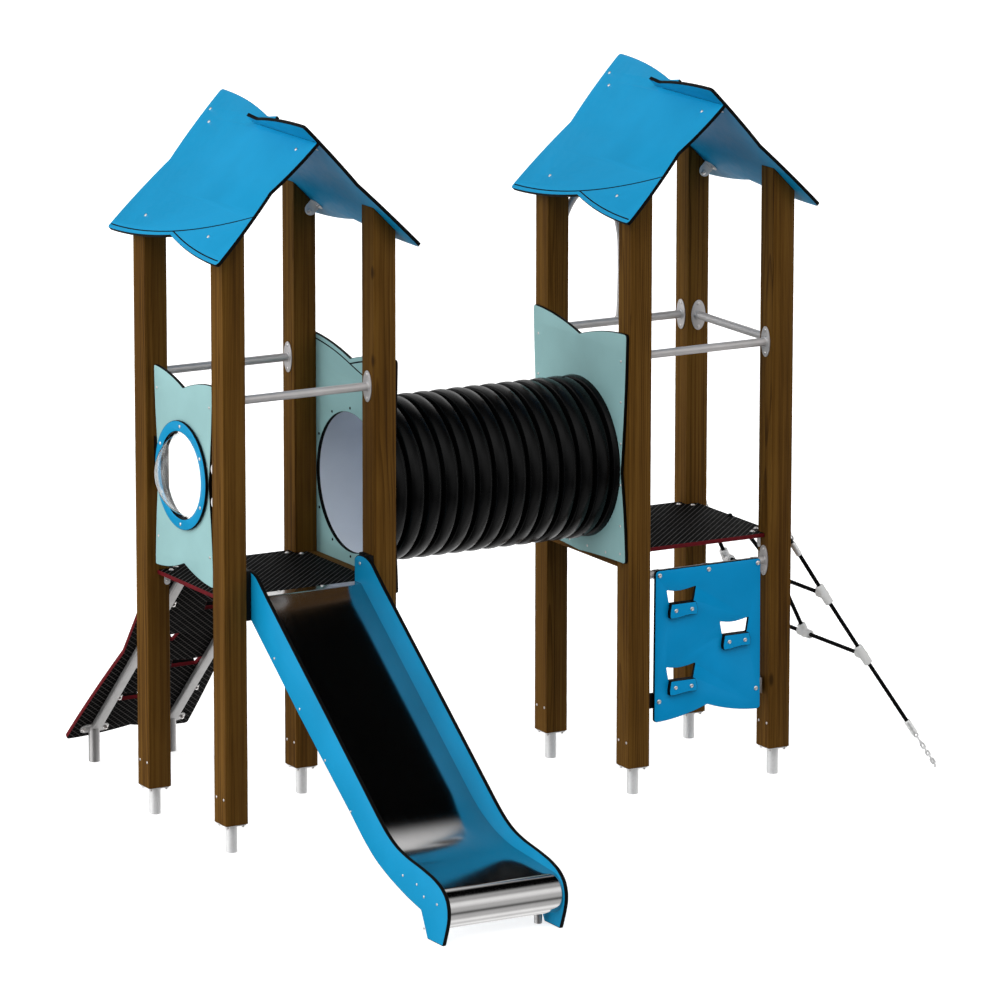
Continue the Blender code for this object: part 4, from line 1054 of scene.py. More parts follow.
loop = waisted_outline(0.238, 0.205, 1.769 - WINDOW_Z, 0.998 - WINDOW_Z, 0.049, -0.004)
g = Geo().add(plate(loop, [circle(0, 0, 0.166)], PANEL_T, 0.0020, 0, 1), yz_frame(WINDOW_X + PANEL_T / 2, WINDOW_Z))
piece("window_panel_sheet", g, [TEAL, CORE], ["window_panel"])
g = Geo().add(plate(circle(0, 0, 0.207), [circle(0, 0, 0.166)], 0.011, 0.0018, 0, 1),
              yz_frame(WINDOW_X - 0.003 - GAP - 0.0055, WINDOW_Z))
piece("window_ring_sheet", g, [BLUE, CORE], ["window_ring"])

DOME_R, DOME_H, DOME_T = 0.160, 0.098, 0.0024
sphere_r = (DOME_R ** 2 + DOME_H ** 2) / (2 * DOME_H)


def dome_height(r):
    return sphere_r * (math.sqrt(max(0.0, 1 - (r / sphere_r) ** 2)) - 1) + DOME_H


outer_pts, inner_pts = [(0.0, DOME_H + DOME_T / 2)], [(0.0, DOME_H - DOME_T / 2)]
for k in range(1, 25):
    r = 0.152 * k / 24
    outer_pts.append((r, dome_height(r) + DOME_T / 2))
    inner_pts.append((r, dome_height(r) - DOME_T / 2))
for r, z in ((0.1555, dome_height(0.1555) + 0.0006), (0.1590, 0.0032), (0.1625, 0.0008), (0.1665, 0.0)):
    outer_pts.append((r, z + DOME_T / 2))
    inner_pts.append((r, z - DOME_T / 2))
prof = outer_pts + [(0.186, DOME_T / 2), (0.186, -DOME_T / 2)] + inner_pts[::-1]
g = Geo().add(revolve(prof, 96), F((WINDOW_X - 0.0015, CX, WINDOW_Z), (0, 0, 1), (0, 1, 0), (-1, 0, 0)))
piece("window_dome_sheet", g, [ACRYLIC], ["window_bubble"], sharp=60)

window_parts = Geo()
for k in range(6):
    a = math.radians(30 + 60 * k)
    fasten(window_parts, SCREW_BIG, (WINDOW_X - 0.0033 - 0.011, CX + 0.187 * math.cos(a), WINDOW_Z + 0.187 * math.sin(a)), (-1, 0, 0), 0.2 * k)
    fasten(window_parts, SCREW, (WINDOW_X + PANEL_T, CX + 0.187 * math.cos(a), WINDOW_Z + 0.187 * math.sin(a)), (1, 0, 0), 0.2 * k)
for u, z in ((-0.214, 1.683), (0.214, 1.683), (-0.212, 1.112), (0.212, 1.112), (-0.190, 1.454), (0.190, 1.454), (-0.190, 1.330), (0.190, 1.330)):
    fasten(window_parts, SCREW, (WINDOW_X, CX + u, z), (-1, 0, 0), 0.5)
for sy, cy_ in ((1, 0.0), (-1, PITCH)):
    # black folded brackets behind the waist, bolted to the post's side
    wall = cy_ + sy * (POST / 2 + GAP)
    if sy > 0:
        # light D-shaped lugs beside the post, in front of the brackets
        for z in (1.4550, 1.3300):
            bulge = [(0.038 * math.cos(a), 0.027 * math.sin(a)) for a in np.linspace(-PI / 2, PI / 2, 21)]
            window_parts.add(plate(bulge, (), 0.0030, 0.0006, 0, 0, 1), F((-0.0300, wall, z), (0, 1, 0), (0, 0, 1), (1, 0, 0)), mat=2)
    bracket = rbox((0.004, 0.100, 0.186), 0.0012, 2)
    window_parts.add(bracket, F((WINDOW_X + PANEL_T + 0.0024, wall + sy * 0.0505, 1.3925), (1, 0, 0), (0, 1, 0), (0, 0, 1)), mat=1)
    for z in (1.4550, 1.3300):
        foot = rbox((0.050, 0.004, 0.052), 0.0012, 2)
        window_parts.add(foot, F((WINDOW_X + PANEL_T + 0.0004 + 0.025, wall + sy * 0.0022, z), (1, 0, 0), (0, 1, 0), (0, 0, 1)), mat=1)
        fasten(window_parts, SCREW_BIG, (WINDOW_X + PANEL_T + 0.034, wall + sy * 0.0042, z), (0, sy, 0), 0.3)
piece("window_fixings", window_parts, [BOLT, BLACK, ZINC], (), sharp=40)

# ------------------------------------------------------------------ tunnel panels and tunnel
panel_a_x = PITCH + POST / 2 + GAP + PANEL_T / 2
panel_b_x = DB - POST / 2 - GAP - PANEL_T / 2
HALF_P, TOP_P, NOTCH_P = 0.356, 1.817 - TUNNEL_Z, 0.055
tunnel_loop = waisted_outline(HALF_P, 0.318, TOP_P, 0.921 - TUNNEL_Z, NOTCH_P, -0.012, notch_low=-0.014, radius=0.020)


def panel_line(u0, u1, signed, n=40):
    us = np.linspace(u0, u1, n)
    t = us / HALF_P if signed else abs(us) / HALF_P
    return [(u, TOP_P - NOTCH_P - 0.0205 + NOTCH_P * (1.9 * q - 0.9 * abs(q) * q if signed and q < 0 else 1.9 * q - 0.9 * q * q)) for u, q in zip(us, t)]


for key, x, inward in (("a", panel_a_x, -1), ("b", panel_b_x, 1)):
    fr = yz_frame(x, TUNNEL_Z)
    mats = [TEAL, CORE]
    obj = piece("tunnel_panel_%s_sheet" % key, Geo().add(plate(tunnel_loop, [circle(0, 0, TUNNEL_ID / 2, 120)], PANEL_T, 0.0020, 0, 1), fr),
                mats, ["tunnel_panel_" + key])
    cuts = []
    flip = 1.0 if key == "a" else -1.0
    lines = (panel_line(0.335, -0.330, True), panel_line(0.004, -0.335, False))
    for j, line in enumerate(lines):
        line = [(u * flip, z) for u, z in line]
        ring = slot_ring(line, 0.0058)
        cuts.append(cutter("route_%d" % j, Geo().add(plate(ring, (), 0.0024, 0.0001, 0, 0, 1),
                                                      yz_frame(x + inward * PANEL_T / 2, TUNNEL_Z)), mats))
    cut(obj, cuts)

R_out, R_root, R_in = TUNNEL_OD / 2, TUNNEL_OD / 2 - RIB_DEPTH, TUNNEL_ID / 2
tx0, tx1 = panel_a_x + PANEL_T / 2 + GAP, panel_b_x - PANEL_T / 2 - GAP
t_len = tx1 - tx0
ribs = int(t_len / TUNNEL_PITCH)
RIB = [(0.0, 0.0), (0.050, 0.0), (0.068, 0.012), (0.080, 0.08), (0.098, 0.28), (0.118, 0.52), (0.138, 0.71), (0.155, 0.80)]
RIB += [(f, 1.0 - 0.16 * ((f - 0.5) / 0.33) ** 2) for f in np.linspace(0.17, 0.83, 15)]
RIB += [(0.845, 0.80), (0.862, 0.71), (0.882, 0.52), (0.902, 0.28), (0.920, 0.08), (0.932, 0.012), (0.950, 0.0)]
wall = []
for i in range(ribs + 1):
    for fx, d in RIB:
        x = (i + fx) * TUNNEL_PITCH
        if x < t_len - 1e-6:
            wall.append((R_root + RIB_DEPTH * d, x))
last = wall[-1][0]
wall.append((last, t_len))
inner = [(R_in + 0.0004, t_len), (R_in, t_len - 0.0015)]
for k in range(1, 24):
    inner.append((R_in, t_len - t_len * k / 24))
inner += [(R_in, 0.0015), (R_in + 0.0004, 0.0)]
prof = wall + inner
mats_i = [0] * (len(wall) - 1) + [0] + [1] * (len(inner) - 1) + [0]
g = Geo().add(revolve(prof, 144, ring=True, mats=mats_i), F((tx0, CX, TUNNEL_Z), (0, 1, 0), (0, 0, 1), (1, 0, 0)))
piece("crawl_tunnel_pipe", g, [BLACK_PIPE, LINER], ["crawl_tunnel"], sharp=50)

tunnel_screws = Geo()
for k in range(12):
    a = math.radians(30 * k)
    y, z = 0.288 * math.cos(a), 0.288 * math.sin(a)
    if k % 6:  # the screws level with the centre would sit behind the posts
        fasten(tunnel_screws, SCREW, (panel_a_x - PANEL_T / 2, CX + y, TUNNEL_Z + z), (-1, 0, 0), 0.3 * k, mat=1)
        fasten(tunnel_screws, SCREW, (panel_b_x + PANEL_T / 2, CX + y, TUNNEL_Z + z), (1, 0, 0), 0.3 * k, mat=1)
    # short screws through the last whole crown into the flange ring behind
    n = np.array((0, math.cos(a), math.sin(a)))
    fasten(tunnel_screws, SCREW, np.array((tx0 + 12.5 * TUNNEL_PITCH, CX, TUNNEL_Z)) + n * (R_out - 0.0002), n, 0.2, mat=1)
for x, s_ in ((panel_a_x + PANEL_T / 2, 1), (panel_b_x - PANEL_T / 2, -1)):
    for u in (-0.3165, 0.3165):
        for z in (1.707, 1.5475, 1.386, 1.2242, 1.0642, 0.9549):
            fasten(tunnel_screws, SCREW, (x, CX + u, z), (s_, 0, 0), 0.4)
    for u, z in ((-0.207, 0.940), (-0.067, 0.938), (0.067, 0.938), (0.207, 0.940)):
        fasten(tunnel_screws, SCREW, (x, CX + u, z), (s_, 0, 0), 0.4)
piece("tunnel_screws", tunnel_screws, [BOLT, BLACK], (), sharp=40)


# ------------------------------------------------------------------ rails
def rail_detail(name, node, start, end, flange=(0.064, 0.120), extra=None, radius=RAIL_D / 2):
    """Tube with elliptical flanges welded on, and two screws in each flange."""
    a, b = np.array(start, float), np.array(end, float)
    d = (b - a) / np.linalg.norm(b - a)
    g, screws = Geo(), Geo()
    length = np.linalg.norm(b - a)
    prof = [(radius, 0.0015)] + [(radius, length * k / 12) for k in range(1, 12)] + [(radius, length - 0.0015)]
    prof = [(0.0, 0.0015)] + prof + [(0.0, length - 0.0015)]
    g.add(revolve(prof, 40), facing(a, d))
    for at, n in ((a, d), (b, -d)):
        flange_detail(g, screws, at, n, flange, radius)
    if extra:
        extra(g, screws)
    piece(name, merged_with_index(g, screws), [RAIL, BOLT], [node], sharp=40)


def flange_detail(g, screws, at, n, size, radius):
    fr = facing(np.array(at) + np.array(n) * (GAP + 0.002), n)
    # the ellipse stands upright
    up = np.array((0, 0, 1.0))
    x = np.cross(up, n)
    fr = F(np.array(at) + np.array(n) * (GAP + 0.002), x, up, n)
    g.add(plate(ellipse(*size), (), 0.004, 0.0012, 0, 0), fr)
    bead = [(radius - 0.001, 0.0018), (radius + 0.0050, 0.0018), (radius + 0.0042, 0.0036), (radius + 0.0022, 0.0054), (radius - 0.001, 0.0068)]
    g.add(revolve(bead, 40, ring=True), fr)
    for s_ in (-1, 1):
        fasten(screws, SCREW_BIG, np.array(at) + np.array(n) * (GAP + 0.004) + up * s_ * (size[1] / 2 - 0.0150), n, 0.3)


def merged_with_index(a, b):
    b.m = [1] * len(b.m)
    return merged(a, b)


i0, i1 = POST / 2, PITCH - POST / 2
rail_detail("rail_a_near_tube", "rail_a_near", (i0, 0, RAIL_Z), (i1, 0, RAIL_Z))
rail_detail("rail_a_far_tube", "rail_a_far", (i0, PITCH, RAIL_Z), (i1, PITCH, RAIL_Z))
rail_detail("rail_b_near_tube", "rail_b_near", (DB + i0, 0, RAIL_Z), (DB + i1, 0, RAIL_Z))
rail_detail("rail_b_end_tube", "rail_b_end", (DB + PITCH, i0, RAIL_Z), (DB + PITCH, i1, RAIL_Z))
rail_detail("panel_rail_tube", "panel_rail", (DB + i0, 0, PANEL_RAIL_Z), (DB + i1, 0, PANEL_RAIL_Z))


def grab_arch(g, screws):
    pts = [(0.3030, RAIL_Z), (0.3085, 1.800), (0.3110, 1.900), (0.3105, 1.965)]
    for k in range(25):
        a = math.radians(6 + 150.5 * k / 24)
        pts.append((0.1695 + 0.141 * math.cos(a), 2.000 + 0.266 * math.sin(a)))
    pts = [p for p in pts if p[0] > POST / 2 + 0.002]
    pts.append((POST / 2 + 0.002, pts[-1][1] - 0.012))
    path = [(DB + x, PITCH, z) for x, z in pts]
    g.add(sweep(fillet_path(path, 0.03, 0.012), disc(0.014, 24)))
    n = np.array((1.0, 0, 0))
    flange_detail(g, screws, (DB + POST / 2, PITCH, 2.150), n, (0.050, 0.096), 0.012)
    # weld where the arch leaves the rail
    g.add(revolve([(0.013, 0.0155), (0.0185, 0.0155), (0.0170, 0.0185), (0.0150, 0.0205), (0.013, 0.0215)], 28, ring=True),
          F((DB + 0.3030 + 0.001, PITCH, RAIL_Z), (1, 0, 0), (0, 1, 0), (0, 0, 1)))


rail_detail("rail_b_far_tube", "rail_b_far", (DB + i0, PITCH, RAIL_Z), (DB + i1, PITCH, RAIL_Z), extra=grab_arch)

# ------------------------------------------------------------------ slide
upper = [(0.045, 1.058, 0.012), (0.020, 1.077, 1), (-0.030, 1.081, 1), (-0.078, 1.068, 1), (-0.166, 0.998, 1), (-0.640, 0.6480, 1),
         (-1.020, 0.3650, 1), (-1.085, 0.3200, 1), (-1.150, 0.2880, 1), (-1.230, 0.2670, 1), (-1.340, 0.2520, 1), (-1.430, 0.2360, 1),
         (-1.490, 0.2140, 1), (-1.527, 0.1850, 1), (-1.543, 0.1500, 1), (-1.545, 0.1100, 1), (-1.532, 0.0650, 1)]
lower = [(-1.506, 0.0, 0.008), (-1.392, 0.0, 0.008), (-1.372, 0.040, 0.02), (-1.345, 0.0950, 0.01), (-1.240, 0.1180, 1), (-1.120, 0.1530, 1),
         (-1.010, 0.1950, 1), (-0.918, 0.2500, 1), (-0.816, 0.3270, 1), (-0.402, 0.6200, 1), (-0.039, 0.8900, 0.02), (-0.0058, 0.9150, 0.006),
         (-0.0058, DECK_TOP + 0.0005, 0.0), (0.045, DECK_TOP + 0.0005, 0.004)]
side_loop = rounded(upper + lower, 0.0, 7)
slide_fix = Geo()
for key, x in (("outer", SLIDE_INSET + SLIDE_T / 2), ("inner", PITCH - SLIDE_INSET - SLIDE_T / 2)):
    fr = F((x, 0, 0), (0, 1, 0), (0, 0, 1), (1, 0, 0))
    piece("slide_side_%s_panel" % key, Geo().add(plate(side_loop, (), SLIDE_T, 0.0036, 0, 1, 3), fr), [BLUE if key == "outer" else BLUE, CORE],
          ["slide_side_" + key])
    out = -1 if key == "outer" else 1
    face = x + out * SLIDE_T / 2
    for y, z in ((-0.224, 0.674), (-0.423, 0.525), (-0.62, 0.375), (-0.816, 0.226), (-1.211, 0.081), (-1.315, 0.073), (-1.368, 0.040),
                 (-1.465, 0.035), (-1.368, -0.077)):
        fasten(slide_fix, SCREW, (face, y, z + 0.111), (out, 0, 0), 0.3)
    # screw head at the top of the side, on its inner face
    fasten(slide_fix, SCREW_BIG, (x - out * SLIDE_T / 2, 0.0, 1.046), (-out, 0, 0), 0.3)
    # black spacer between the side and the post
    post_face = POST / 2 + GAP if key == "outer" else PITCH - POST / 2 - GAP
    mid = (post_face + face - out * -0.0003) / 2
    width = abs(face - post_face) - 0.0006
    for y0, y1, z0 in ((-0.043, -0.0065, 0.891), (-0.0066, 0.037, DECK_TOP + 0.0005)):
        block = rbox((width, y1 - y0, 1.081 - z0), 0.002, 2)
        slide_fix.add(block, F((mid, (y0 + y1) / 2, (z0 + 1.081) / 2), (1, 0, 0), (0, 1, 0), (0, 0, 1)), mat=1)


def bed_profile():
    pts = [(0.042, DECK_TOP + BED_T + GAP)]
    slope, runout = math.radians(36.46), math.radians(4.5)

    def fillet(corner, a_dir, b_dir, radius, steps):
        corner, a_dir, b_dir = np.array(corner), np.array(a_dir), np.array(b_dir)
        turn = math.acos(float(a_dir @ b_dir))
        start = corner - a_dir * radius * math.tan(turn / 2)
        normal = b_dir - a_dir * (a_dir @ b_dir)
        normal /= np.linalg.norm(normal)
        centre = start + normal * radius
        arm = start - centre
        return [tuple(centre + arm * math.cos(turn * k / steps) + a_dir * radius * math.sin(turn * k / steps)) for k in range(steps + 1)]

    flat, down = (-1.0, 0.0), (-math.cos(slope), -math.sin(slope))
    out_dir = (-math.cos(runout), -math.sin(runout))
    top_z = DECK_TOP + BED_T + GAP
    pts += fillet((-0.078 + (top_z - 0.920) / math.tan(slope), top_z), flat, down, 0.012, 10)
    a = pts[-1]
    bend = fillet((-1.0025, 0.2367), down, out_dir, 0.690, 40)
    pts += [(a[0] + (bend[0][0] - a[0]) * k / 12, a[1] + (bend[0][1] - a[1]) * k / 12) for k in range(1, 12)]
    pts += bend
    touch = np.array((-1.4625, 0.2005))
    centre = touch + np.array((math.sin(runout), -math.cos(runout))) * ROLL_R
    start = math.atan2(touch[1] - centre[1], touch[0] - centre[0])
    for k in range(49):
        a = start + math.radians(200) * k / 48
        pts.append((centre[0] + ROLL_R * math.cos(a), centre[1] + ROLL_R * math.sin(a)))
    return pts


bed_x0, bed_x1 = SLIDE_INSET + SLIDE_T + GAP, PITCH - SLIDE_INSET - SLIDE_T - GAP
top = np.array(bed_profile())
tan = np.gradient(top, axis=0)
tan /= np.linalg.norm(tan, axis=1)[:, None]
low = top + np.stack([-tan[:, 1], tan[:, 0]], 1) * BED_T
if low[0, 1] > top[0, 1]:
    low = 2 * top - low
run = np.concatenate([[0], np.cumsum(np.linalg.norm(np.diff(top, axis=0), axis=1))])
v, t, f = [], [], []
cols = 9
n = len(top)
for pts in (top, low):
    for i in range(n):
        for c in range(cols):
            x = bed_x0 + (bed_x1 - bed_x0) * c / (cols - 1)
            v.append((x, pts[i][0], pts[i][1]))
            t.append((x, 0.0 if pts is top else BED_T, run[i]))
for side in (0, 1):
    o = side * n * cols
    for i in range(n - 1):
        for c in range(cols - 1):
            q = (o + i * cols + c, o + i * cols + c + 1, o + (i + 1) * cols + c + 1, o + (i + 1) * cols + c)
            f.append(q if side == 0 else q[::-1])
for i in range(n - 1):
    for c in (0, cols - 1):
        q = (i * cols + c, (i + 1) * cols + c, n * cols + (i + 1) * cols + c, n * cols + i * cols + c)
        f.append(q)
for i in (0, n - 1):
    for c in range(cols - 1):
        f.append((i * cols + c, i * cols + c + 1, n * cols + i * cols + c + 1, n * cols + i * cols + c))
g = Geo().add((v, f, 0, t))
piece("slide_bed_sheet", g, [STAINLESS], ["slide_bed"], sharp=40)
for x in (0.2249, 0.4070):
    fasten(slide_fix, SCREW_BIG, (x, 0.0345, DECK_TOP + BED_T + GAP), (0, 0, 1), 0.3)
piece("slide_fixings", slide_fix, [BOLT, BLACK], (), sharp=40)

leg_y, leg_top = -1.405, 0.150
g = Geo()
w = bed_x1 - bed_x0 - 0.006
g.add(revolve([(0.0, -w / 2), (0.0145, -w / 2), (0.015, -w / 2 + 0.0006)] + [(0.015, -w / 2 + w * k / 8) for k in range(1, 8)] +
              [(0.015, w / 2 - 0.0006), (0.0145, w / 2), (0.0, w / 2)], 32), facing(((bed_x0 + bed_x1) / 2, leg_y, leg_top), (1, 0, 0)))
for x in (bed_x0 + 0.031, bed_x1 - 0.031):
    ro, ri = 0.01475, 0.0122
    g.add(revolve([(ro - 0.0005, 0.0), (ro, 0.0005), (ro, leg_top), (ri, leg_top), (ri, 0.0005), (ri + 0.0005, 0.0)], 32, ring=True),
          F((x, leg_y, 0), (1, 0, 0), (0, 1, 0), (0, 0, 1)))
    bead = [(ro - 0.001, leg_top - 0.0135), (ro + 0.0040, leg_top - 0.0125), (ro + 0.0028, leg_top - 0.0165), (ro - 0.001, leg_top - 0.0195)]
    g.add(revolve(bead, 32, ring=True), F((x, leg_y, 0), (1, 0, 0), (0, 1, 0), (0, 0, 1)))
piece("slide_support_frame", g, [GALV], ["slide_support"], sharp=40)


# ------------------------------------------------------------------ ramp
def hand_hole(cx, cy, flip=1, radius=0.0035):
    """Cut-out with a dipped upper edge and slanted ends."""
    pts = [(0.065, 0.028, radius), (0.028, 0.0205, 1), (-0.004, 0.0165, 1), (-0.036, 0.0185, 1), (-0.065, 0.0245, radius),
           (-0.055, -0.028, radius), (0.055, -0.028, radius)]
    pts = [(cx + x * flip, cy + y, r) for x, y, r in pts]
    return rounded(pts, 0.0, 5)


def ramp_outline():
    full, waist, notch = 0.267, 0.227, 0.047
    pts = []
    for k in range(33):
        u = -full + 2 * full * k / 32
        q = abs(u) / full
        pts.append((u, notch - notch * (1.9 * q - 0.9 * q * q), 0.016 if k in (0, 32) else 0.0))
    mid, shoulder = RAMP_LEN * 0.51, RAMP_LEN - 0.300
    pts += [(*p, 0.0) for p in arc_between((full, 0.0), (waist, mid), -0.006, 8)][:-1] + [(waist, mid, 0.06)]
    pts += [(full - 0.004, shoulder, 0.10), (full, RAMP_LEN - 0.14, 0.3), (full, RAMP_LEN, 0.002)]
    pts += [(-full, RAMP_LEN, 0.002), (-full, RAMP_LEN - 0.14, 0.3), (-full + 0.004, shoulder, 0.10), (-waist, mid, 0.06)]
    pts += [(*p, 0.0) for p in arc_between((-waist, mid), (-full, 0.0), -0.006, 8)[:-1]]
    out = []
    for i, p in enumerate(pts):
        near = [pts[(i + d) % len(pts)] for d in (-1, 1)]
        if p[2] == 0.0 and any(c[2] == 0.016 and math.dist(p[:2], c[:2]) < 0.018 for c in near):
            continue
        out.append(p)
    return rounded(out, 0.0, 6)


ramp_holes = [hand_hole(-0.0870 if i % 2 == 0 else 0.0870, RAMP_LEN - d) for i, d in enumerate((0.311, 0.519, 0.726, 0.934))]
ramp_o = np.array((CX, RAMP_END_Y, RAMP_END_Z)) + np.array((0, S, S)) * (RAMP_T / 2)
RX, RY, RZ = np.array((-1.0, 0, 0)), np.array((0, -S, S)), np.array((0, S, S))
g = Geo().add(plate(ramp_outline(), ramp_holes, RAMP_T, 0.0013, 0, 1), F(ramp_o, RX, RY, RZ))
piece("ramp_board_sheet", g, [FILM, EDGE], ["ramp_board"])

for i, d in enumerate((0.311, 0.519, 0.726, 0.934)):
    at = -0.0870 if i % 2 == 0 else 0.0870
    shape = [(-0.056, 0.0, 0.003), (0.056, 0.0, 0.003), (0.064, -0.030, 0.05), (0.060, -0.052, 0.006), (0.000, -0.0500, 1),
             (-0.060, -0.0560, 0.006), (-0.062, -0.040, 0.05)]
    loop = rounded([(at + u, RAMP_LEN - d - 0.0290 + v, r) for u, v, r in shape], 0.0, 5)
    fr = F(ramp_o + RZ * (RAMP_T / 2 + GAP + 0.010), RX, RY, RZ)
    piece("ramp_hold_%d" % (i + 1), Geo().add(plate(loop, (), 0.020, 0.0018, 0, 0, 3), fr), [CORE], (), sharp=40)

ramp_bolts = Geo()
for key, x in (("outer", CX - 0.168), ("inner", CX + 0.168)):
    low_s, high_s = 0.092, RAMP_LEN - 0.030
    g = Geo()
    # rolled square tube with rounded corners and open ends
    half_w, half_h, wall_t = STRINGER_W / 2, STRINGER_H / 2, 0.0020
    outer = rounded([(-half_w, -half_h), (half_w, -half_h), (half_w, half_h), (-half_w, half_h)], 0.0045, 5)
    innr = rounded([(-half_w + wall_t, -half_h + wall_t), (half_w - wall_t, -half_h + wall_t), (half_w - wall_t, half_h - wall_t),
                    (-half_w + wall_t, half_h - wall_t)], 0.0025, 5)
    length = high_s - low_s
    shell = plate(outer, [innr], length, 0.0006, 0, 0)
    centre = ramp_o + np.array((x - CX, 0, 0)) + RY * (low_s + high_s) / 2 - RZ * (RAMP_T / 2 + GAP + half_h)
    g.add(shell, F(centre, RX, -RZ, RY))
    foot_c = ramp_o + np.array((x - CX, 0, 0)) + RY * 0.070 - RZ * (RAMP_T / 2 + GAP + 0.0032)
    g.add(plate([(b, a) for a, b in stadium(0.056, 0.124, 12)], (), 0.006, 0.0010, 0, 0), F(foot_c, RX, RY, RZ))
    foot_y = 1.455
    z_top = RAMP_END_Z + (RAMP_END_Y - foot_y)
    ro, ri = ANCHOR_D / 2, ANCHOR_D / 2 - 0.0032
    segs = 40
    tube_v, tube_f, _ = revolve([(ro - 0.0006, 0.0), (ro, 0.0006), (ro, 1.0), (ri, 1.0), (ri, 0.0006), (ri + 0.0006, 0.0)], segs, ring=True)
    tube_v = np.array(tube_v)
    # the top is mitred to the plate
    upper_ring = tube_v[:, 2] > 0.5
    tube_v[upper_ring, 2] = z_top - tube_v[upper_ring, 1] - 0.006
    g.add((tube_v, tube_f, 0), F((x, foot_y, 0), (1, 0, 0), (0, 1, 0), (0, 0, 1)))
    bead_path = [(x + (ro + 0.0008) * math.cos(2 * PI * k / 48), foot_y + (ro + 0.0008) * math.sin(2 * PI * k / 48),
                  z_top - (ro + 0.0008) * math.sin(2 * PI * k / 48) - 0.0075) for k in range(48)]
    g.add(sweep(bead_path, disc(0.0026, 8), closed=True))
    piece("ramp_stringer_%s_tube" % key, g, [GALV], ["ramp_stringer_" + key], sharp=40)
    for u in (-0.048, 0.048):
        fasten(ramp_bolts, NUT, foot_c + RX * u - RZ * 0.003, -RZ, 0.3)
        fasten(ramp_bolts, BOLT_WASHER, foot_c + RX * u + RZ * (0.003 + RAMP_T + 0.0008), RZ, 0.3)
    # tabs beside the stringer carry the board
    for d in (0.262, 0.468, 0.700, 0.930):
        at = ramp_o + np.array((x - CX, 0, 0)) + RY * (RAMP_LEN - d) - RZ * (RAMP_T / 2 + GAP)
        tab = rbox((0.030, 0.028, 0.004), 0.0010, 2)
        ramp_bolts.add(tab, F(at - RX * (half_w + 0.012) - RZ * 0.0022, RX, RY, RZ), mat=1)
        fasten(ramp_bolts, NUT, at - RX * (half_w + 0.016) - RZ * 0.0042, -RZ, 0.2)
        fasten(ramp_bolts, BOLT_WASHER, at - RX * (half_w + 0.016) + RZ * (RAMP_T + GAP), RZ, 0.2)
piece("ramp_bolts", ramp_bolts, [BOLT, GALV], (), sharp=40)

# ------------------------------------------------------------------ climbing panel
CLIMB_Y = -RAIL_D / 2 - GAP - PANEL_T / 2
climb_half, top_z, low_z, notch_z = 0.239, 0.876, 0.276, 0.322
climb_holes = [(0.196 - CX, 0.660), (0.4365 - CX, 0.509), (0.196 - CX, 0.355)]
pts = []
for k in range(33):
    u = -climb_half + 2 * climb_half * k / 32
    q = abs(u) / climb_half
    pts.append((u, low_z + (notch_z - low_z) * (1 - (1.9 * q - 0.9 * q * q)), 0.016 if k in (0, 32) else 0.0))
pts += [(climb_half - 0.003, top_z, 0.016), (-climb_half + 0.003, top_z, 0.016)]
pts = [p for i, p in enumerate(pts) if not (p[2] == 0.0 and any(c[2] > 0 and math.dist(p[:2], c[:2]) < 0.018 for c in (pts[i - 1], pts[(i + 1) % len(pts)])))]
FXZ = F((DB + CX, CLIMB_Y, 0.0), (1, 0, 0), (0, 0, 1), (0, -1, 0))
g = Geo().add(plate(rounded(pts, 0.0, 7), [hand_hole(x, z + 0.111) for x, z in climb_holes], PANEL_T, 0.0012, 0, 1), FXZ)
# the climbing panel and its footholds use the brightened blue copy, painted light for their shaded faces
piece("climbing_panel_sheet", g, [BLUE_LIT_COPY, CORE], ["climbing_panel"])
climb_fix = Geo()
front = CLIMB_Y - PANEL_T / 2
for i, (x, z) in enumerate(climb_holes):
    shape = [(-0.056, 0.0, 0.003), (0.056, 0.0, 0.003), (0.066, -0.030, 0.05), (0.062, -0.052, 0.006), (0.030, -0.0495, 1), (-0.002, -0.0530, 1),
             (-0.034, -0.0580, 1), (-0.060, -0.0575, 0.006), (-0.063, -0.040, 0.05)]
    loop = rounded([(x + u * 0.98, z + 0.111 - 0.0285 + v, r) for u, v, r in shape], 0.0, 5)
    fr = F((DB + CX, front - GAP - 0.010, 0.0), (1, 0, 0), (0, 0, 1), (0, -1, 0))
    piece("foothold_%d_block" % (i + 1), Geo().add(plate(loop, (), 0.020, 0.0018, 0, 1, 3), fr), [BLUE_LIT_COPY, CORE], ["foothold_%d" % (i + 1)])
    for u in (-0.024, 0.047):
        fasten(climb_fix, dome_bolt(0.0080, 0.0040, 0.0), (DB + CX + x + u - 0.010, front - GAP - 0.020, z + 0.111 - 0.0560), (0, -1, 0), 0.3)
for u, z in ((0.099, 0.746), (0.319, 0.747), (0.541, 0.747), (0.099, 0.247), (0.537, 0.248)):
    fasten(climb_fix, dome_bolt(0.0095, 0.0048, 0.0), (DB + u, front, z + 0.111), (0, -1, 0), 0.3)
    # saddles hold the panel to the rail
    if z > 0.5:
        saddle = [(0.0165 * math.cos(a), 0.0165 * math.sin(a)) for a in np.linspace(-PI / 2, PI / 2, 15)]
        saddle += [(-0.0163, 0.0165), (-0.0163, 0.0178)]
        saddle += [(0.0178 * math.cos(a), 0.0178 * math.sin(a)) for a in np.linspace(PI / 2 - 0.001, -PI / 2 + 0.001, 15)]
        saddle += [(-0.0163, -0.0178), (-0.0163, -0.0165)]
        climb_fix.add(plate(saddle, (), 0.024, 0.0004, 0, 0, 1), F((DB + u, 0.0, PANEL_RAIL_Z), (0, 1, 0), (0, 0, 1), (1, 0, 0)), mat=1)
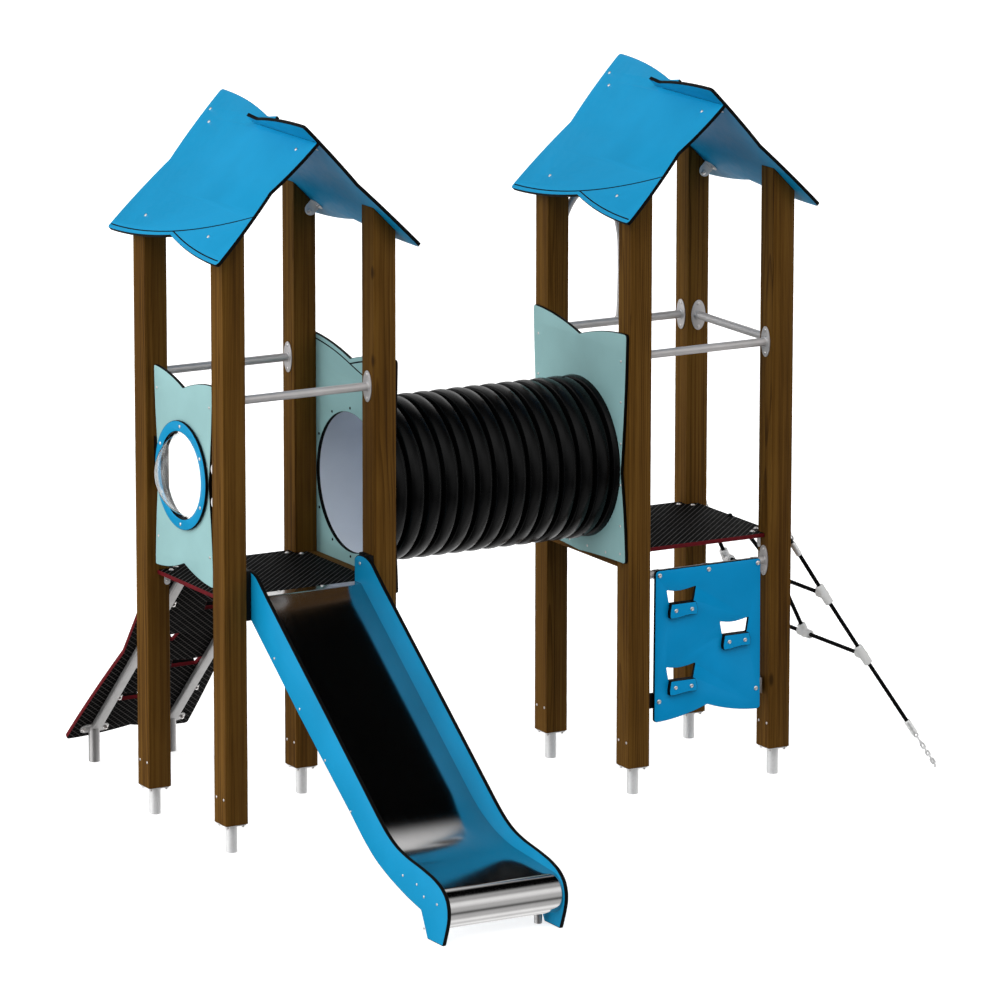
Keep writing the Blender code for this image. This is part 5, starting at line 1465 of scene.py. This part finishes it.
# folded straps at the lower corners
for sx, post_x in ((1, DB + PITCH - POST / 2), (-1, DB + POST / 2)):
    edge_x = DB + CX + sx * 0.239
    back = CLIMB_Y + PANEL_T / 2
    m_ = 1 if sx > 0 else 2
    for size, at in (((0.048, 0.003, 0.062), (edge_x - sx * 0.0060, back + 0.0018)),
                     ((0.003, 0.034, 0.062), (edge_x + sx * 0.0165, back + 0.0190)),
                     ((abs(post_x - edge_x) - 0.0160, 0.003, 0.062), ((post_x + edge_x) / 2 + sx * 0.0077, back + 0.0345)),
                     ((0.003, 0.026, 0.062), (post_x - sx * 0.0018, back + 0.0460))):
        climb_fix.add(rbox(size, 0.0008, 2), F((at[0], at[1], 0.362), (1, 0, 0), (0, 1, 0), (0, 0, 1)), mat=m_)
    for z in (0.378, 0.346):
        fasten(climb_fix, SCREW_BIG, (post_x - sx * 0.0033, back + 0.0480, z), (-sx, 0, 0), 0.3)
piece("climbing_panel_fixings", climb_fix, [BOLT, GALV, BLACK], (), sharp=40)

# ------------------------------------------------------------------ rope net
NET_TOP_X = DB + PITCH + POST / 2


def lerp(p, q, t):
    return tuple(a + (b - a) * t for a, b in zip(p, q))


def toward(p, q, distance):
    p, q = np.array(p, float), np.array(q, float)
    return tuple(p + (q - p) / np.linalg.norm(q - p) * distance)


net = {}
for key, y0, y1, pull in (("near", 0.0, -0.240, 0.012), ("far", PITCH, PITCH + 0.240, -0.012)):
    start, low_end = (NET_TOP_X + 0.0145, y0, 0.939), (2.979, y1, 0.012)
    up_, lo_ = lerp(start, low_end, 0.255), lerp(start, low_end, 0.520)
    net[key] = {"start": start, "upper": (up_[0], up_[1] + pull, up_[2]), "lower": (lo_[0], lo_[1] + pull, lo_[2]),
                "end": lerp(start, low_end, 0.860), "low": low_end}
across = ROPE_D + 2 * GAP + 0.001
mid_start = (DB + PITCH + DECK_OVER + 0.015, CX - 0.012, DECK_TOP - 0.022)
mid_upper = lerp(net["near"]["upper"], net["far"]["upper"], 0.5)
mid_lower = lerp(net["near"]["lower"], net["far"]["lower"], 0.5)
mid_lower = (mid_lower[0], mid_lower[1], mid_lower[2] - 0.001)
mid_over = (mid_upper[0] + across * 0.86, mid_upper[1], mid_upper[2] + across * 0.51)
ROPES = {
    "net_rope_near": [net["near"][k] for k in ("start", "upper", "lower", "end")],
    "net_rope_far": [net["far"][k] for k in ("start", "upper", "lower", "end")],
    "net_rope_middle": [mid_start, mid_over, toward(mid_lower, mid_over, 0.011)],
    "net_rung_upper": [toward(net["near"]["upper"], mid_upper, 0.011), toward(net["far"]["upper"], mid_upper, 0.011)],
    "net_rung_lower": [toward(net["near"]["lower"], mid_lower, 0.011), mid_lower, toward(net["far"]["lower"], mid_lower, 0.011)],
}
SIX = []
for k in range(36):
    a = 2 * PI * k / 36
    SIX.append(((0.00800 - 0.00095 * abs(math.sin(3 * a)) ** 1.0 * 0 - 0.0010 * (1 - abs(math.cos(3 * a))) ** 2) * math.cos(a),
                (0.00800 - 0.0010 * (1 - abs(math.cos(3 * a))) ** 2) * math.sin(a)))
for name, path in ROPES.items():
    g = Geo().add(sweep(fillet_path(path, 0.03, 0.0055), SIX, twist=2 * PI / 0.125))
    piece(name + "_strands", g, [ROPE], [name], sharp=70)

# moulded clamps, blended where their sleeves meet
CLAMPS = {
    "net_clamp_upper_middle": [(mid_upper, net["near"]["upper"]), (mid_upper, net["far"]["upper"]), (mid_over, mid_start), (mid_over, mid_lower)],
    "net_clamp_lower_middle": [(mid_lower, net["near"]["lower"]), (mid_lower, net["far"]["lower"]), (mid_lower, mid_over)],
}
for key in ("near", "far"):
    nn = net[key]
    CLAMPS["net_clamp_upper_" + key] = [(nn["upper"], nn["start"]), (nn["upper"], nn["lower"]), (nn["upper"], mid_upper)]
    CLAMPS["net_clamp_lower_" + key] = [(nn["lower"], nn["upper"]), (nn["lower"], nn["end"]), (nn["lower"], mid_lower)]
SLEEVE = [(0.0, -0.012), (0.0166, -0.012), (0.0176, -0.009), (0.0177, 0.020), (0.0176, 0.0360), (0.0170, 0.0400), (0.0150, 0.0420), (0.0, 0.0420)]
for name, arms in CLAMPS.items():
    g = Geo()
    for at, target in arms:
        d = np.array(target) - np.array(at)
        g.add(revolve(SLEEVE, 28), facing(at, d))
    obj = piece(name + "_moulding", g, [CLAMP], [name])
    rem = obj.modifiers.new("blend", "REMESH")
    rem.mode, rem.voxel_size = "VOXEL", 0.0018
    sm = obj.modifiers.new("ease", "SMOOTH")
    sm.factor, sm.iterations = 0.6, 3
    bpy.context.view_layer.update()
    dg = bpy.context.evaluated_depsgraph_get()
    mesh = bpy.data.meshes.new_from_object(obj.evaluated_get(dg))
    obj.modifiers.clear()
    obj.data = mesh
    co = np.zeros(len(mesh.vertices) * 3, np.float32)
    mesh.vertices.foreach_get("co", co)
    if "tex" in mesh.attributes:
        mesh.attributes.remove(mesh.attributes["tex"])
    att = mesh.attributes.new("tex", "FLOAT_VECTOR", "POINT")
    att.data.foreach_set("vector", co)
    mesh.shade_smooth()

# end fittings: eye bolt and ring on the post, ferrules, and a short chain to the ground
fit = Geo()


def torus(centre, normal, ring_r, bar_r, n=32, k=12):
    fr = facing(centre, normal)
    pts = [(ring_r * math.cos(2 * PI * i / n), ring_r * math.sin(2 * PI * i / n), 0.0) for i in range(n)]
    pts = np.array(pts) @ fr[:3, :3].T + fr[:3, 3]
    return sweep(pts, disc(bar_r, k), closed=True, up=fr[:3, 2])


def link(centre, along, normal, length, width, bar):
    """Oval chain link; length and width are over the bar's centre line."""
    along, normal = np.array(along, float), np.array(normal, float)
    along /= np.linalg.norm(along)
    side = np.cross(normal, along)
    side /= np.linalg.norm(side)
    r = width / 2
    pts = []
    for a in np.linspace(-PI / 2, PI / 2, 9):
        pts.append(np.array(centre) + along * (length / 2 - r + r * math.cos(a)) + side * r * math.sin(a))
    for a in np.linspace(PI / 2, 3 * PI / 2, 9):
        pts.append(np.array(centre) + along * (-(length / 2 - r) + r * math.cos(a)) + side * r * math.sin(a))
    return sweep(pts, disc(bar, 10), closed=True, up=np.cross(side, along))


def ferrule(at, d, r=0.0130, length=0.062):
    prof = [(0.0, 0.0), (r * 0.84, 0.0), (r * 0.93, 0.0016), (r, 0.0050), (r, length * 0.30), (r * 0.955, length * 0.34), (r * 0.955, length * 0.38),
            (r, length * 0.42), (r, length * 0.60), (r * 0.955, length * 0.64), (r * 0.955, length * 0.68), (r, length * 0.72), (r, length - 0.005),
            (r * 0.93, length - 0.0016), (r * 0.84, length), (0.0, length)]
    return revolve(prof, 32), facing(at, d)


for key in ("near", "far"):
    nn = net[key]
    d = np.array(nn["upper"]) - np.array(nn["start"])
    d /= np.linalg.norm(d)
    st = np.array(nn["start"])
    shell, fr = ferrule(st + d * 0.030, d, 0.0125, 0.058)
    fit.add(shell, fr, mat=1)
    # thimble ring and eye bolt
    fit.add(torus(st + d * 0.012, (0, 1, 0), 0.0150, 0.0036), mat=0)
    hub = np.array((NET_TOP_X, nn["start"][1], 0.956))
    fit.add(revolve([(0.0, -0.0003), (0.0170, -0.0003), (0.0175, 0.0006), (0.0170, 0.0026), (0.0080, 0.0028), (0.0068, 0.0050), (0.0, 0.0050)], 28), facing(hub, (1, 0, 0)))
    fit.add(torus(hub + np.array((0.0145, 0, -0.006)), (0, 1, 0.0), 0.0110, 0.0040), mat=0)
    # lower end
    e, low_end = np.array(nn["end"]), np.array(nn["low"])
    dd = (low_end - e) / np.linalg.norm(low_end - e)
    shell, fr = ferrule(e - dd * 0.058, dd)
    fit.add(shell, fr, mat=1)

for key in ("near", "far"):
    nn = net[key]
    g = Geo()
    e, low_end = np.array(nn["end"]), np.array(nn["low"])
    dd = low_end - e
    total = np.linalg.norm(dd)
    dd /= total
    side = np.cross(dd, (0, 0, 1.0))
    side /= np.linalg.norm(side)
    up_ = np.cross(side, dd)
    g.add(torus(e + dd * 0.011, side, 0.0074, 0.0034, 24, 10))
    # shackle: a bow with a pin across its eyes
    bow = []
    for a in np.linspace(0, PI, 17):
        bow.append(e + dd * (0.026 + 0.0105 * (1 - math.sin(a)) * 0) + dd * (-0.0085 * math.sin(a) + 0.006) + side * 0.0095 * math.cos(a))
    bow = [e + dd * 0.049 + side * 0.0080] + bow + [e + dd * 0.049 - side * 0.0080]
    g.add(sweep(fillet_path(bow, 0.004, 0.003), disc(0.0038, 12)))
    g.add(sweep([e + dd * 0.049 + side * 0.0135, e + dd * 0.049 - side * 0.0125], disc(0.0032, 14)))
    for s_ in (-1, 1):
        g.add(revolve([(0.0, -0.0028), (0.0056, -0.0028), (0.0062, -0.0018), (0.0062, 0.0018), (0.0056, 0.0028), (0.0, 0.0028)], 20),
              facing(e + dd * 0.049 + side * 0.0085 * s_, side))
    at, turn = 0.0585, 0
    while at < total - 0.018:
        n = side if turn % 2 == 0 else up_
        g.add(link(e + dd * (at + 0.004), dd, n, 0.0240, 0.0122, 0.0036))
        at += 0.0185
        turn += 1
    # eye of the ground anchor
    g.add(torus(low_end - dd * 0.0125, up_, 0.0078, 0.0030, 24, 10))
    g.add(revolve([(0.0, 0.0), (0.0035, 0.0), (0.0039, 0.0006), (0.0039, 0.0125), (0.0, 0.0125)], 16), F(low_end + np.array((0, 0, -0.0118)), (1, 0, 0), (0, 1, 0), (0, 0, 1)))
    piece("anchor_chain_%s_links" % key, g, [ZINC], ["anchor_chain_" + key], sharp=50)

# eye plate under the deck's edge for the middle rope, with its bolt through the board
fit.add(rbox((0.040, 0.046, 0.0045), 0.0012, 2), F((mid_start[0] - 0.030, mid_start[1], DECK_TOP - DECK_T - 0.0027), (1, 0, 0), (0, 1, 0), (0, 0, 1)))
fit.add(torus((mid_start[0] - 0.002, mid_start[1], mid_start[2] + 0.001), (0, 1, 0), 0.0105, 0.0036))
shell, fr = ferrule(np.array(mid_start) + (np.array(mid_over) - np.array(mid_start)) / np.linalg.norm(np.array(mid_over) - np.array(mid_start)) * 0.010,
                    np.array(mid_over) - np.array(mid_start), 0.0122, 0.046)
fit.add(shell, fr, mat=1)
fasten(fit, dome_bolt(0.0095, 0.0090, 0.0120), (DB + PITCH - 0.0095, CX, DECK_TOP), (0, 0, 1), 0.3, mat=2)
piece("net_end_fittings", fit, [ZINC, FERRULE, BLACK], (), sharp=45)

# ------------------------------------------------------------------ floor and light
floor_mat, nt, bsdf = new_material("studio_floor")
where = put(nt, "ShaderNodeTexCoord").outputs["Object"]
grain = put(nt, "ShaderNodeTexNoise", {"Vector": where, "Scale": 0.4, "Detail": 2.0}).outputs["Fac"]
nt.links.new(ramp(nt, grain, [(0.3, (0.835, 0.835, 0.835)), (0.7, (0.85, 0.85, 0.85))]), bsdf.inputs["Base Color"])
bsdf.inputs["Roughness"].default_value = 0.9
bsdf.inputs["Specular IOR Level"].default_value = 0.1
bsdf.inputs["Emission Color"].default_value = (1.0, 1.0, 1.0, 1.0)
bsdf.inputs["Emission Strength"].default_value = 0.70
fm = bpy.data.meshes.new("studio_floor")
fm.from_pydata([(-160, -160, 0), (160, -160, 0), (160, 160, 0), (-160, 160, 0)], [], [(0, 1, 2, 3)])
fm.materials.append(floor_mat)
floor = bpy.data.objects.new("studio_floor", fm)
floor.location.z = -0.0005
scene.collection.objects.link(floor)
# the boxes below the horizon light the object from beneath, as a bright paper sweep would
floor.visible_diffuse = floor.visible_glossy = floor.visible_shadow = False

world = bpy.data.worlds.new("studio")
scene.world = world
world.use_nodes = True
wn = world.node_tree
wn.nodes.clear()
w_out = wn.nodes.new("ShaderNodeOutputWorld")
bg = wn.nodes.new("ShaderNodeBackground")
wn.links.new(bg.outputs[0], w_out.inputs[0])
bg.inputs["Strength"].default_value = 1.0
direction = put(wn, "ShaderNodeTexCoord").outputs["Generated"]

AMBIENT = 0.0
CORE_ANGLE, REACH_ANGLE = 12, 32
# large soft boxes round the object: azimuth in degrees from +X towards +Y, elevation, radiance
SOFT_BOXES = [
    (-180, -50, 0.51), (-60, -50, 0.72), (0, -50, 0.95), (60, -50, 0.73), (120, -50, 0.64), (-180, -20, 0.85), (0, -20, 0.60),
    (30, -20, 0.68), (60, -20, 0.33), (150, -20, 0.30), (-180, 8, 1.43), (-60, 8, 0.68), (-30, 8, 0.29), (0, 8, 0.82),
    (30, 8, 0.69), (60, 8, 0.27), (120, 8, 0.36), (150, 8, 1.09), (-180, 34, 1.25), (-150, 34, 0.82), (-120, 34, 0.57),
    (-90, 34, 0.69), (-60, 34, 0.48), (60, 34, 0.85), (120, 34, 0.34), (150, 34, 0.96), (-135, 60, 0.43), (-90, 60, 0.72)]


def soft_box(azimuth, elevation, core, reach):
    """Even radiance within core degrees of the direction, fading out at reach degrees."""
    a, e = math.radians(azimuth), math.radians(elevation)
    axis = (math.cos(a) * math.cos(e), math.sin(a) * math.cos(e), math.sin(e))
    dot = put(wn, "ShaderNodeVectorMath", {0: direction, 1: axis}, operation="DOT_PRODUCT").outputs["Value"]
    return span(wn, dot, math.cos(math.radians(reach)), math.cos(math.radians(core)), 0.0, 1.0, "SMOOTHSTEP")


total = None
for az, el, level in SOFT_BOXES:
    part = calc(wn, "MULTIPLY", soft_box(az, el, CORE_ANGLE, REACH_ANGLE), level)
    total = calc(wn, "ADD", part, AMBIENT) if total is None else calc(wn, "ADD", part, total)
wn.links.new(total, bg.inputs["Color"])

scene.view_settings.view_transform = "Standard"
scene.view_settings.look = "None"
scene.view_settings.exposure = 0.0
scene.view_settings.gamma = 1.0
